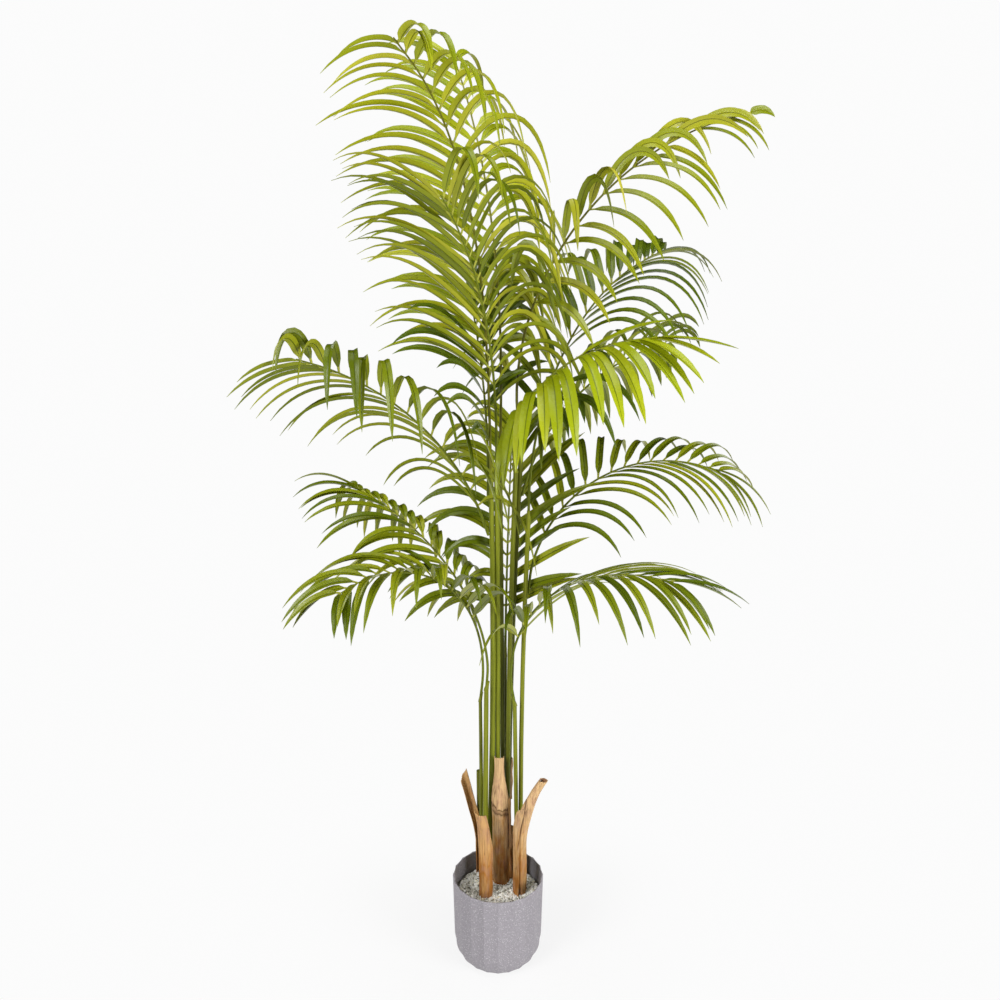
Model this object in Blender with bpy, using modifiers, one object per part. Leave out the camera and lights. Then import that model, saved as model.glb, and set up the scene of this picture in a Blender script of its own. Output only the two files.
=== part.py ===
"""An artificial areca palm in a fluted pot, built as separate solids.

Metres, +Z up. The origin is the centre of the pot's flat underside, and -Y is the front.
"""
import random
from math import cos, pi, radians, sin

import bmesh
import bpy
from mathutils import Matrix, Vector
from mathutils.bvhtree import BVHTree

NAME = "areca_palm"
GAP = 0.0003
UP = Vector((0.0, 0.0, 1.0))
MERGE_DISTANCE = 0.00001
SHARP_ANGLE = 35.0

# Pot and its filling
POT_HEIGHT = 0.190
POT_RADIUS = 0.092
POT_WAIST_RADIUS = 0.0895
POT_FOOT_RADIUS = 0.052
POT_CORNER_HEIGHT = 0.056
POT_WALL = 0.004
POT_FLOOR = 0.008
FLUTES = 20
FLUTE_DEPTH = 0.0022
TURN_STEPS = 2 * FLUTES
CORNER_STEPS = 4
FILL_LEVEL = 0.150

# Dried sheaths round the stems. Foot and top are the axis, which is upright up to the first value
# of bend, a share of the height, and then leans with that power. The radius narrows over the
# shares "narrow" and is less by waist at the foot. Arc is how far the shell wraps, base is how high
# it starts above the filling, and cut is how far its top edge slants down to one side.
SHEATH_THICKNESS = 0.0018
SHEATH_RINGS = 7
SHEATH_COLUMNS = 7
SHEATH_WAIST_HEIGHT = 0.6
SHEATHS = {
    "sheath_centre": dict(
        foot=(0.0072, 0.0265), top=(0.0025, 0.0205), base=0.0, height=0.298, facing=-90,
        bend=(0.0, 1.0), radius=(0.0176, 0.0100), narrow=(0.62, 0.92), waist=0.0006,
        arc=(190, 170), cut=0.0),
    "sheath_centre_layer": dict(
        foot=(0.0129, 0.0248), top=(0.0119, 0.0248), base=0.085, height=0.204, facing=-20,
        bend=(0.5, 1.1), radius=(0.0145, 0.0125), narrow=(0.5, 1.0), waist=0.0,
        arc=(52, 46), cut=0.0),
    "sheath_centre_right": dict(
        foot=(0.0228, 0.0415), top=(0.0236, 0.0400), base=0.0, height=0.135, facing=-20,
        bend=(0.0, 1.0), radius=(0.0093, 0.0089), narrow=(0.0, 1.0), waist=0.0,
        arc=(150, 130), cut=0.10),
    "sheath_right": dict(
        foot=(0.0446, -0.0080), top=(0.0890, -0.0160), base=0.0, height=0.266, facing=-80,
        bend=(0.45, 2.0), radius=(0.0138, 0.0085), narrow=(0.60, 1.0), waist=0.0014,
        arc=(220, 352), cut=0.0),
    "sheath_left_front": dict(
        foot=(-0.0246, -0.0180), top=(-0.0368, -0.0260), base=0.0, height=0.205, facing=-95,
        bend=(0.50, 2.2), radius=(0.0138, 0.0112), narrow=(0.5, 1.0), waist=0.0008,
        arc=(200, 160), cut=0.05),
    "sheath_left_back": dict(
        foot=(-0.0365, 0.0540), top=(-0.0725, 0.0480), base=0.0, height=0.250, facing=105,
        bend=(0.33, 1.2), radius=(0.0095, 0.0105), narrow=(0.6, 1.0), waist=0.0,
        arc=(150, 130), cut=0.13),
    "sheath_back_right": dict(
        foot=(0.0208, 0.0525), top=(0.0219, 0.0504), base=0.183, height=0.277, facing=10,
        bend=(0.0, 1.0), radius=(0.0080, 0.0080), narrow=(0.0, 1.0), waist=0.0,
        arc=(170, 120), cut=0.0),
}

# Stems: each is a tube from the filling to its top, and bow is how far its middle leans along X
STEM_PARTS = 5
STEM_SIDES_RESOLUTION = 2
STEMS = {
    "stem_centre_left": dict(
        foot=(-0.0190, 0.034), top=(-0.0130, 0.022, 1.02), radius=(0.0062, 0.0046), bow=0.006),
    "stem_centre": dict(
        foot=(-0.0035, 0.042), top=(-0.0028, 0.025, 1.04), radius=(0.0056, 0.0046), bow=0.003),
    "stem_centre_back": dict(
        foot=(0.0112, 0.054), top=(0.0032, 0.038, 1.05), radius=(0.0048, 0.0045), bow=0.001),
    "stem_back": dict(
        foot=(0.012, 0.070), top=(0.0145, 0.055, 0.65), radius=(0.0042, 0.0034), bow=0.0),
    "stem_right_front": dict(
        foot=(0.0205, 0.039), top=(0.0325, 0.028, 1.03), radius=(0.0046, 0.0045), bow=-0.005),
    "stem_right_back": dict(
        foot=(0.0215, 0.0565), top=(0.0430, 0.036, 1.08), radius=(0.0046, 0.0045), bow=-0.006),
    "stem_low_right": dict(
        foot=(0.040, 0.030), top=(0.0325, 0.014, 0.565), radius=(0.0044, 0.0040), bow=0.0),
    "stem_far_right": dict(
        foot=(0.0480, 0.038), top=(0.0565, 0.020, 0.94), radius=(0.0046, 0.0042), bow=-0.0055),
    "stem_left": dict(
        foot=(-0.0272, 0.021), top=(-0.0225, 0.010, 0.60), radius=(0.0064, 0.0044), bow=0.0),
    "stem_low_left": dict(
        foot=(-0.0355, 0.038), top=(-0.0345, 0.022, 0.57), radius=(0.0042, 0.0034), bow=0.0012),
    "stem_stub": dict(
        foot=(-0.0385, 0.0695), top=(-0.0391, 0.066, 0.388), radius=(0.0050, 0.0050), bow=0.0),
}

# Fronds. Angles are in degrees: azimuth 0 leans to +X and 90 to +Y, rise and fall are the slope
# of the midrib at its foot and tip, swing turns it sideways, roll and twist tilt its blade.
# A frond with a height leaves its stem's side there, and any other continues the stem's top.
# Leaflets stand at the angles "spread" to the midrib, near its foot and near its tip. A pair of
# values for lift, droop, arch and gather is for its two rows: lift raises a row, droop and arch
# bend it down, and gather opens or closes it. Taper and stiff are how much shorter and how much
# less bent the last leaflets are.
FROND_DEFAULTS = dict(
    swing=0, bend=1.0, bare=0.20, roll=0, twist=0, lift=(25, 25), droop=(1.6, 1.6), arch=(1.3, 1.3),
    spread=(60, 34), gather=(1.0, 1.0), level=0.5, width=0.0155, taper=0.30,
    stiff=0.0)
FRONDS = {
    "frond_crown_left": dict(
        stem="stem_centre_left", length=0.8, azimuth=257, swing=-17, rise=86, fall=26, bend=1.95,
        bare=0.22, pairs=20, leaflet=0.24, roll=7, twist=-25, lift=(60, -17), droop=(3.7, 1.2),
        arch=(1.7, 0.9), spread=(36, 46), gather=(1.2, 0.75), level=0.45, width=0.0165, taper=0.4),
    "frond_crown_front": dict(
        stem="stem_centre", length=0.555, azimuth=264, swing=-19, rise=102, fall=39, bend=0.55,
        bare=0.23, pairs=18, leaflet=0.25, roll=21, lift=(35, 22), droop=(2.8, 1.0),
        arch=(1.8, 2.1), spread=(38, 33), gather=(1.45, 1.0), level=0.45, width=0.016, taper=0.05),
    "frond_crown_back": dict(
        stem="stem_centre_back", length=0.71, azimuth=124, swing=17, rise=93, fall=65, bend=1.35,
        bare=0.29, pairs=18, leaflet=0.24, roll=-19, twist=-13, lift=(-19, -9), droop=(1, 2.8),
        arch=(2.4, 1), spread=(54, 39), level=0.4, width=0.0155),
    "frond_high_right": dict(
        stem="stem_right_back", length=0.8, azimuth=8, swing=10, rise=103, fall=9, bend=0.9,
        bare=0.32, pairs=17, leaflet=0.19, roll=14, twist=-7, lift=(98, -22), droop=(2.2, 2.1),
        arch=(1.2, 1.5), spread=(66, 24), gather=(0.62, 1.0), level=0.4, width=0.016, taper=0.6,
        stiff=0.35),
    "frond_back_right": dict(
        stem="stem_far_right", length=0.64, azimuth=47, swing=-7, rise=91, fall=11, bend=1.1,
        bare=0.31, pairs=17, leaflet=0.245, roll=19, twist=-3, lift=(24, 31), droop=(1.7, 2.4),
        arch=(1.5, 2.0), spread=(56, 45), gather=(0.8, 1.0), level=0.4, width=0.0155),
    "frond_front_right": dict(
        stem="stem_right_front", length=0.395, azimuth=-32, swing=28.5, rise=116, fall=3,
        bend=0.62, bare=0.24, pairs=17, leaflet=0.19, roll=10, lift=(0, 12), droop=(0.6, 2.8),
        arch=(1.6, 0.9), spread=(72, 36), gather=(0.2, 1.0), level=0.65, width=0.023, taper=-0.1,
        stiff=0.9),
    "frond_lower_right": dict(
        stem="stem_far_right", height=0.79, length=0.525, azimuth=34, swing=-29, rise=92,
        fall=-24, bend=0.82, bare=0.23, pairs=16, leaflet=0.21, roll=31, twist=-4, lift=(5, 20),
        droop=(1.5, 1.9), arch=(1.5, 1.8), spread=(44, 36), gather=(1.2, 1.0), level=0.5,
        width=0.0145, taper=0.1),
    "frond_lowest_right": dict(
        stem="stem_low_right", length=0.52, azimuth=-37, swing=9, rise=111, fall=-7, bend=0.8,
        bare=0.28, pairs=15, leaflet=0.24, roll=-10, twist=14, lift=(-6, 4), droop=(0.9, 1.2),
        arch=(1.5, 1.5), spread=(45, 34), level=0.35, width=0.0145, taper=0.2, stiff=0.2),
    "frond_upper_left": dict(
        stem="stem_centre_left", height=0.91, length=0.54, azimuth=215, swing=7, rise=72, fall=17,
        bend=0.95, bare=0.12, pairs=16, leaflet=0.235, roll=20, twist=45, lift=(20, 29),
        droop=(3.8, 1.7), arch=(1.1, 1.5), spread=(35, 35), gather=(1.6, 1.0), level=0.2,
        width=0.015, taper=0.35, stiff=0.5),
    "frond_middle_left": dict(
        stem="stem_left", length=0.495, azimuth=164, swing=-2, rise=103, fall=23, bend=0.7,
        bare=0.39, pairs=15, leaflet=0.185, roll=-24, twist=34, lift=(0, 35), droop=(1.2, 3.0),
        arch=(1.5, 1.0), spread=(67, 28), gather=(0.8, 0.8), level=0.3, width=0.017, taper=0.0),
    "frond_lowest_left": dict(
        stem="stem_low_left", length=0.53, azimuth=219, swing=3, rise=102, fall=-21, bend=1.1,
        bare=0.29, pairs=16, leaflet=0.235, roll=-19, twist=-17, lift=(43, 11), droop=(1.5, 1.7),
        arch=(2.7, 0.8), spread=(45, 47), level=0.4, width=0.0155, taper=0.35),
    "frond_behind_left": dict(
        stem="stem_centre_left", height=0.98, length=0.38, azimuth=142, rise=91, fall=75,
        bend=1.15, bare=0.29, pairs=12, leaflet=0.2, roll=-4, twist=1, lift=(17, 39),
        droop=(1, 0.9), arch=(1.9, 1.8), spread=(57, 26), level=0.4, width=0.016),
    "frond_inner_right": dict(
        stem="stem_right_back", height=0.98, length=0.43, azimuth=28, swing=-4, rise=78, fall=9,
        bend=0.85, bare=0.25, pairs=15, leaflet=0.19, roll=-15, twist=-14, lift=(-10, 40),
        droop=(2.1, 1.8), arch=(1.6, 1.6), spread=(67, 37), level=0.4, width=0.015),
    "frond_centre_back": dict(
        stem="stem_back", length=0.46, azimuth=79, swing=5, rise=88, fall=65, bend=1.15,
        bare=0.22, pairs=17, leaflet=0.205, roll=-11, twist=12, lift=(21, 23), droop=(1.6, 0.3),
        arch=(1.7, 1.9), spread=(60, 38), level=0.25, width=0.0165),
}

# Midribs
RIB_PARTS = 10
RIB_FOOT_RADIUS = 0.0027
RIB_TIP_RADIUS = 0.0013
RIB_LAST_PAIR = 0.985
PAIR_CROWDING = 1.15

# Leaflets: stations are shares of the leaflet's length, with its width there
LEAFLET_FOLD = 0.0030
LEAFLET_STEPS = 12
LEAFLET_STATIONS = ((2, 1.0), (7, 1.0))
LEAFLET_ROOT = 0.55
LEAFLET_ROOT_START = 0.2
ROOT_FACES = 7
END_LENGTH = 0.72
FIRST_PHASE = 0.15
ANGLE_VARIATION = 6.0
LENGTH_VARIATION = 0.10
DROOP_VARIATION = 0.15
CLEARANCE = 0.0006

# A leaflet that would touch something is lifted by these degrees, with its droop and length scaled
NUDGES = (
    (0, 1.0, 1.0), (9, 1.0, 1.0), (-9, 1.0, 1.0), (0, 0.8, 1.0), (0, 1.25, 1.0), (18, 0.9, 1.0),
    (-18, 1.1, 1.0), (9, 0.7, 1.0), (-9, 1.4, 1.0), (27, 0.8, 0.9), (-27, 1.0, 0.9),
    (0, 1.0, 0.75), (15, 0.8, 0.7), (-15, 1.2, 0.7), (0, 1.0, 0.5), (25, 0.8, 0.5),
)

# Colour and roughness of each kind of piece
POT_LOOK = ((0.40, 0.37, 0.40), 0.7)
FILLING_LOOK = ((0.58, 0.58, 0.50), 0.9)
BARK_LOOK = ((0.36, 0.20, 0.09), 0.8)
STEM_LOOK = ((0.22, 0.27, 0.03), 0.5)
LEAF_LOOK = ((0.12, 0.22, 0.02), 0.45)
BRIGHT_LOOK = ((0.30, 0.36, 0.03), 0.45)
BRIGHT = ("frond_crown_left", "frond_crown_back", "frond_high_right", "frond_front_right")


def clear_scene():
    for item in list(bpy.data.objects):
        bpy.data.objects.remove(item, do_unlink=True)


def make_material(name, colour, roughness):
    material = bpy.data.materials.new(name)
    material.use_nodes = True
    shader = material.node_tree.nodes["Principled BSDF"]
    shader.inputs["Base Color"].default_value = (*colour, 1.0)
    shader.inputs["Roughness"].default_value = roughness
    shader.inputs["Metallic"].default_value = 0.0
    return material


def add_object(name, mesh, collection):
    item = bpy.data.objects.new(name, mesh)
    collection.objects.link(item)
    return item


def finish(item, look):
    item.data.materials.clear()
    item.data.materials.append(make_material(item.name, *look))
    item.data.shade_smooth()
    item.data.set_sharp_from_angle(angle=radians(SHARP_ANGLE))


def mesh_from(name, points, faces):
    """A closed mesh from points and faces, with its faces turned outward."""
    mesh = bpy.data.meshes.new(name)
    mesh.from_pydata(points, [], faces)
    shape = bmesh.new()
    shape.from_mesh(mesh)
    bmesh.ops.recalc_face_normals(shape, faces=shape.faces)
    shape.to_mesh(mesh)
    shape.free()
    return mesh


def turned_mesh(name, profile):
    """A profile of (radius, height) points turned about Z, from axis to axis."""
    shape = bmesh.new()
    points = [shape.verts.new((radius, 0.0, height)) for radius, height in profile]
    edges = [shape.edges.new(pair) for pair in zip(points, points[1:])]
    bmesh.ops.spin(
        shape, geom=points + edges, cent=(0, 0, 0), axis=(0, 0, 1), angle=2 * pi,
        steps=TURN_STEPS, use_merge=True, use_duplicate=False)
    bmesh.ops.remove_doubles(shape, verts=shape.verts, dist=MERGE_DISTANCE)
    bmesh.ops.recalc_face_normals(shape, faces=shape.faces)
    mesh = bpy.data.meshes.new(name)
    shape.to_mesh(mesh)
    shape.free()
    return mesh


def corner_profile(foot_radius, waist_radius, low, high):
    """A quarter ellipse from the edge of a flat bottom up to the wall."""
    points = []
    for step in range(CORNER_STEPS + 1):
        angle = 0.5 * pi * step / CORNER_STEPS
        points.append((
            foot_radius + (waist_radius - foot_radius) * sin(angle),
            high - (high - low) * cos(angle)))
    return points


def build_pot(collection):
    outer = corner_profile(POT_FOOT_RADIUS, POT_WAIST_RADIUS, 0.0, POT_CORNER_HEIGHT)
    inner = corner_profile(
        POT_FOOT_RADIUS - POT_WALL, POT_WAIST_RADIUS - POT_WALL, POT_FLOOR, POT_CORNER_HEIGHT)
    profile = [(0.0, 0.0)] + outer
    profile += [(POT_RADIUS, POT_HEIGHT), (POT_RADIUS - POT_WALL, POT_HEIGHT)]
    profile += inner[::-1] + [(0.0, POT_FLOOR)]
    mesh = turned_mesh("pot", profile)
    for vertex in mesh.vertices:
        press_flute(vertex.co)
    pot = add_object("pot", mesh, collection)
    finish(pot, POT_LOOK)
    return pot


def press_flute(point):
    """Push a point of the outer wall inward between two ridges."""
    radius = point.xy.length
    wall = POT_WAIST_RADIUS + (POT_RADIUS - POT_WAIST_RADIUS) * max(
        0.0, (point.z - POT_CORNER_HEIGHT) / (POT_HEIGHT - POT_CORNER_HEIGHT))
    if point.z >= POT_CORNER_HEIGHT - 0.0001 and radius < wall - 0.5 * POT_WALL:
        return
    if point.z < POT_CORNER_HEIGHT and radius < outer_radius(point.z) - 0.5 * POT_WALL:
        return
    ridge = abs(cos(0.5 * FLUTES * point.xy.angle_signed(Vector((1.0, 0.0)))))
    share = min(1.0, point.z / POT_CORNER_HEIGHT)
    point.xy *= (radius - FLUTE_DEPTH * (1.0 - ridge) * share) / radius


def outer_radius(height):
    """The pot's outer radius in its rounded foot."""
    drop = min(1.0, max(0.0, 1.0 - height / POT_CORNER_HEIGHT))
    return POT_FOOT_RADIUS + (POT_WAIST_RADIUS - POT_FOOT_RADIUS) * (1.0 - drop * drop) ** 0.5


def build_filling(collection):
    share = (FILL_LEVEL - POT_CORNER_HEIGHT) / (POT_HEIGHT - POT_CORNER_HEIGHT)
    wall = POT_WAIST_RADIUS + (POT_RADIUS - POT_WAIST_RADIUS) * share - POT_WALL - GAP
    low = POT_FLOOR + GAP
    profile = [(0.0, low)]
    profile += corner_profile(
        POT_FOOT_RADIUS - POT_WALL - GAP, POT_WAIST_RADIUS - POT_WALL - GAP, low,
        POT_CORNER_HEIGHT)
    profile += [(wall, FILL_LEVEL), (0.0, FILL_LEVEL)]
    filling = add_object("filling", turned_mesh("filling", profile), collection)
    finish(filling, FILLING_LOOK)
    return filling


def sheath_section(sheath, up):
    """Centre, radius and wrapped angle of a sheath at a share of its height."""
    bend_start, bend_power = sheath["bend"]
    past = max(0.0, up - bend_start) / (1.0 - bend_start)
    centre = Vector(sheath["foot"]).lerp(Vector(sheath["top"]), past ** bend_power)
    start, end = sheath["narrow"]
    step = min(1.0, max(0.0, (up - start) / (end - start)))
    low, high = sheath["radius"]
    radius = low + (high - low) * step * step * (3.0 - 2.0 * step)
    radius -= sheath["waist"] * max(0.0, 1.0 - up / SHEATH_WAIST_HEIGHT)
    arc = sheath["arc"][0] + (sheath["arc"][1] - sheath["arc"][0]) * up
    return centre, radius, arc


def sheath_reach(sheath, across):
    """How high a sheath reaches there: its top edge may slant down to one side."""
    return 1.0 - abs(sheath["cut"]) * (across if sheath["cut"] > 0.0 else 1.0 - across)


def sheath_point(sheath, up, across):
    """A point of a sheath's outer face: up and across run from 0 to 1."""
    up *= sheath_reach(sheath, across)
    centre, radius, arc = sheath_section(sheath, up)
    angle = radians(sheath["facing"] + arc * (across - 0.5))
    height = FILL_LEVEL + GAP + sheath["base"] + (sheath["height"] - sheath["base"]) * up
    return Vector((centre.x + radius * cos(angle), centre.y + radius * sin(angle), height))


def build_sheath(name, sheath, collection):
    points = []
    for ring in range(SHEATH_RINGS):
        for column in range(SHEATH_COLUMNS):
            points.append(sheath_point(
                sheath, ring / (SHEATH_RINGS - 1), column / (SHEATH_COLUMNS - 1)))
    faces = []
    for ring in range(SHEATH_RINGS - 1):
        for column in range(SHEATH_COLUMNS - 1):
            first = ring * SHEATH_COLUMNS + column
            faces.append((first, first + 1, first + SHEATH_COLUMNS + 1, first + SHEATH_COLUMNS))
    mesh = bpy.data.meshes.new(name)
    mesh.from_pydata(points, [], faces)
    item = add_object(name, mesh, collection)
    shell = item.modifiers.new("thickness", "SOLIDIFY")
    shell.thickness = SHEATH_THICKNESS
    shell.offset = -1.0
    finish(item, BARK_LOOK)
    return item


def stem_path(stem):
    """Points up a stem's axis, from just above the filling to its top."""
    foot = Vector((*stem["foot"], FILL_LEVEL + GAP))
    top = Vector(stem["top"])
    points = []
    for part in range(STEM_PARTS + 1):
        share = part / STEM_PARTS
        point = foot.lerp(top, share)
        point.x += stem["bow"] * 4.0 * share * (1.0 - share)
        points.append(point)
    return points


def stem_axis_at(stem, height):
    """The stem's axis point and radius at a height."""
    path = stem_path(stem)
    share = (height - path[0].z) / (path[-1].z - path[0].z)
    place = share * STEM_PARTS
    part = min(int(place), STEM_PARTS - 1)
    point = path[part].lerp(path[part + 1], place - part)
    radius = stem["radius"][0] + (stem["radius"][1] - stem["radius"][0]) * share
    return point, radius


def tube_mesh(name, path, radii, resolution, collection):
    """A tapering tube along a path, as a closed mesh."""
    curve = bpy.data.curves.new(name, "CURVE")
    curve.dimensions = "3D"
    curve.bevel_depth = 1.0
    curve.bevel_resolution = resolution
    curve.use_fill_caps = True
    spline = curve.splines.new("POLY")
    spline.points.add(len(path) - 1)
    for point, place, radius in zip(spline.points, path, radii):
        point.co = (*place, 1.0)
        point.radius = radius
    item = add_object(name, curve, collection)
    bpy.context.view_layer.update()
    evaluated = item.evaluated_get(bpy.context.evaluated_depsgraph_get())
    mesh = bpy.data.meshes.new_from_object(evaluated)
    shape = bmesh.new()
    shape.from_mesh(mesh)
    bmesh.ops.remove_doubles(shape, verts=shape.verts, dist=MERGE_DISTANCE)
    bmesh.ops.recalc_face_normals(shape, faces=shape.faces)
    shape.to_mesh(mesh)
    shape.free()
    bpy.data.objects.remove(item, do_unlink=True)
    bpy.data.curves.remove(curve)
    mesh.name = name
    return mesh


def build_stem(name, stem, collection):
    path = stem_path(stem)
    low, high = stem["radius"]
    radii = [low + (high - low) * part / STEM_PARTS for part in range(STEM_PARTS + 1)]
    mesh = tube_mesh(name, path, radii, STEM_SIDES_RESOLUTION, collection)
    item = add_object(name, mesh, collection)
    finish(item, STEM_LOOK)
    return item


def heading_at(frond, along):
    """The midrib's direction at a share of its length."""
    slope = radians(frond["rise"] + (frond["fall"] - frond["rise"]) * along ** frond["bend"])
    turn = radians(frond["azimuth"] + frond["swing"] * along)
    return Vector((cos(slope) * cos(turn), cos(slope) * sin(turn), sin(slope)))


def frond_foot(frond):
    """Where a midrib starts, clear of the stem that carries it."""
    stem = STEMS[frond["stem"]]
    start = heading_at(frond, 0.5 / RIB_PARTS)
    if "height" not in frond:
        path = stem_path(stem)
        along = (path[-1] - path[-2]).normalized()
        tilt = along.angle(start)
        lift = GAP + RIB_FOOT_RADIUS * sin(tilt)
        return path[-1] + along * lift
    axis, radius = stem_axis_at(stem, frond["height"])
    turn = radians(frond["azimuth"])
    away = radius + RIB_FOOT_RADIUS + GAP
    return axis + Vector((cos(turn), sin(turn), 0.0)) * away


def rib_path(frond):
    """Points along a frond's midrib, from its foot to its tip."""
    step = frond["length"] / RIB_PARTS
    points = [frond_foot(frond)]
    for part in range(RIB_PARTS):
        points.append(points[-1] + heading_at(frond, (part + 0.5) / RIB_PARTS) * step)
    return points


def rib_radius(along):
    return RIB_FOOT_RADIUS + (RIB_TIP_RADIUS - RIB_FOOT_RADIUS) * along


def point_along(path, along):
    place = along * (len(path) - 1)
    part = min(int(place), len(path) - 2)
    return path[part].lerp(path[part + 1], place - part)


def leaflet_seats(name, frond, path):
    """Where each leaflet of a frond leaves the midrib, and its own small variations."""
    chance = random.Random(name)
    seats = []
    for pair in range(frond["pairs"]):
        share = pair / (frond["pairs"] - 1)
        along = frond["bare"] + (RIB_LAST_PAIR - frond["bare"]) * (
            1.0 - (1.0 - share) ** PAIR_CROWDING)
        rib = heading_at(frond, along)
        turn = radians(frond["azimuth"] + frond["swing"] * along)
        tilt = Matrix.Rotation(radians(frond["roll"] + frond["twist"] * along), 3, rib)
        side = tilt @ Vector((-sin(turn), cos(turn), 0.0))
        upper = rib.cross(side)
        for row, hand in enumerate((1, -1)):
            phase = pi * (FIRST_PHASE + (1.0 - FIRST_PHASE) * share)
            full = END_LENGTH + (1.0 - END_LENGTH) * sin(phase)
            length = frond["leaflet"] * full * (1.0 - frond["taper"] * share ** 3)
            near, far = frond["spread"]
            stiff = 1.0 - frond["stiff"] * share * share
            seats.append(dict(
                root=point_along(path, along),
                radius=rib_radius(along),
                rib=rib,
                side=side * hand,
                upper=upper,
                hand=hand,
                arch=frond["arch"][row],
                level=frond["level"],
                width=frond["width"],
                spread=(near + (far - near) * share) * frond["gather"][row] + (
                    chance.uniform(-1, 1) * ANGLE_VARIATION),
                lift=frond["lift"][row] + chance.uniform(-1, 1) * ANGLE_VARIATION,
                droop=frond["droop"][row] * stiff * (
                    1.0 + chance.uniform(-1, 1) * DROOP_VARIATION),
                length=length * (1.0 + chance.uniform(-1, 1) * LENGTH_VARIATION)))
    return seats


def leaflet_path(seat, nudge):
    """The leaflet's midline as places, directions and width directions, root first."""
    lift_more, droop_scale, length_scale = nudge
    spread = radians(seat["spread"])
    lift = radians(seat["lift"] + lift_more)
    out = seat["side"] * cos(lift) + seat["upper"] * sin(lift)
    start = seat["rib"] * cos(spread) + out * sin(spread)
    level = UP.cross(start).normalized() * -seat["hand"]
    across = (seat["rib"] - start * seat["rib"].dot(start)).normalized().lerp(level, seat["level"])
    step = seat["length"] * length_scale / LEAFLET_STEPS
    place = seat["root"] + start * LEAFLET_ROOT_START * seat["radius"]
    stations = []
    for number in range(LEAFLET_STEPS + 1):
        share = number / LEAFLET_STEPS
        along = leaflet_heading(seat, start, share, droop_scale)
        across = (across - along * across.dot(along)).normalized()
        stations.append((place, across, along.cross(across) * -seat["hand"]))
        middle = (number + 0.5) / LEAFLET_STEPS
        place = place + leaflet_heading(seat, start, middle, droop_scale) * step
    return stations


def leaflet_heading(seat, start, share, droop_scale):
    """The leaflet's direction: it bends down under its own weight."""
    fall = seat["droop"] * droop_scale * share ** seat["arch"]
    return (start - UP * fall).normalized()


def leaflet_solid(seat, nudge, grow=0.0):
    """Points and faces of a leaflet: a folded blade of three-sided sections, with a point."""
    stations = leaflet_path(seat, nudge)
    root_half = LEAFLET_ROOT * seat["radius"]
    sections = [(stations[0], root_half, root_half)]
    for number, width in LEAFLET_STATIONS:
        sections.append((stations[number], 0.5 * width * seat["width"], LEAFLET_FOLD))
    points = []
    for (place, across, upper), half, fold in sections:
        half += grow
        points.append(place + across * half + upper * (0.5 * fold + grow))
        points.append(place - across * half + upper * (0.5 * fold + grow))
        points.append(place - upper * (0.5 * fold + grow))
    points.append(stations[-1][0])
    faces = [(2, 1, 0)]
    for ring in range(len(sections) - 1):
        base = 3 * ring
        for corner in range(3):
            after = (corner + 1) % 3
            faces.append((base + corner, base + after, base + 3 + after))
            faces.append((base + corner, base + 3 + after, base + 3 + corner))
    base = 3 * (len(sections) - 1)
    tip = len(points) - 1
    faces += [(base, base + 1, tip), (base + 1, base + 2, tip), (base + 2, base, tip)]
    return points, faces


def outer_faces(faces):
    """The faces of a leaflet beyond the band that is sunk in the midrib."""
    return faces[ROOT_FACES:]


def tree_of(shapes):
    """A search tree over many (points, faces) shapes."""
    all_points = []
    all_faces = []
    for points, faces in shapes:
        base = len(all_points)
        all_points += points
        all_faces += [tuple(base + corner for corner in face) for face in faces]
    return BVHTree.FromPolygons(all_points, all_faces)


def shape_of(item):
    """Points and faces of an object as the viewport shows it, in world space."""
    evaluated = item.evaluated_get(bpy.context.evaluated_depsgraph_get())
    mesh = evaluated.to_mesh()
    points = [item.matrix_world @ vertex.co for vertex in mesh.vertices]
    faces = [tuple(face.vertices) for face in mesh.polygons]
    evaluated.to_mesh_clear()
    return points, faces


def fitted_leaflets(name, frond, path, own_rib, fixed, taken):
    """The frond's leaflets that keep clear of everything else, each nudged as far as needed."""
    around = tree_of(fixed + taken)
    kept = []
    outer = [own_rib]
    for seat in leaflet_seats(name, frond, path):
        own = tree_of(outer)
        for nudge in NUDGES:
            points, faces = leaflet_solid(seat, nudge, CLEARANCE)
            if tree_of([(points, faces)]).overlap(around):
                continue
            if tree_of([(points, outer_faces(faces))]).overlap(own):
                continue
            points, faces = leaflet_solid(seat, nudge)
            kept.append((points, faces))
            outer.append((points, outer_faces(faces)))
            break
    return kept


def join_frond(name, rib_mesh, leaflets, collection):
    """One solid from the midrib and its leaflets."""
    blades = bpy.data.collections.new(name + "_leaflets")
    bpy.context.scene.collection.children.link(blades)
    for number, (points, faces) in enumerate(leaflets):
        add_object(f"{name}_{number}", mesh_from(name, points, faces), blades)
    rib = add_object(name, rib_mesh, collection)
    union = rib.modifiers.new("leaflets", "BOOLEAN")
    union.operation = "UNION"
    union.operand_type = "COLLECTION"
    union.collection = blades
    union.solver = "MANIFOLD"
    bpy.context.view_layer.update()
    evaluated = rib.evaluated_get(bpy.context.evaluated_depsgraph_get())
    mesh = bpy.data.meshes.new_from_object(evaluated)
    rib.modifiers.clear()
    rib.data = mesh
    for blade in list(blades.objects):
        bpy.data.objects.remove(blade, do_unlink=True)
    bpy.data.collections.remove(blades)
    keep_largest(mesh)
    finish(rib, BRIGHT_LOOK if name in BRIGHT else LEAF_LOOK)
    return rib


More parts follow.
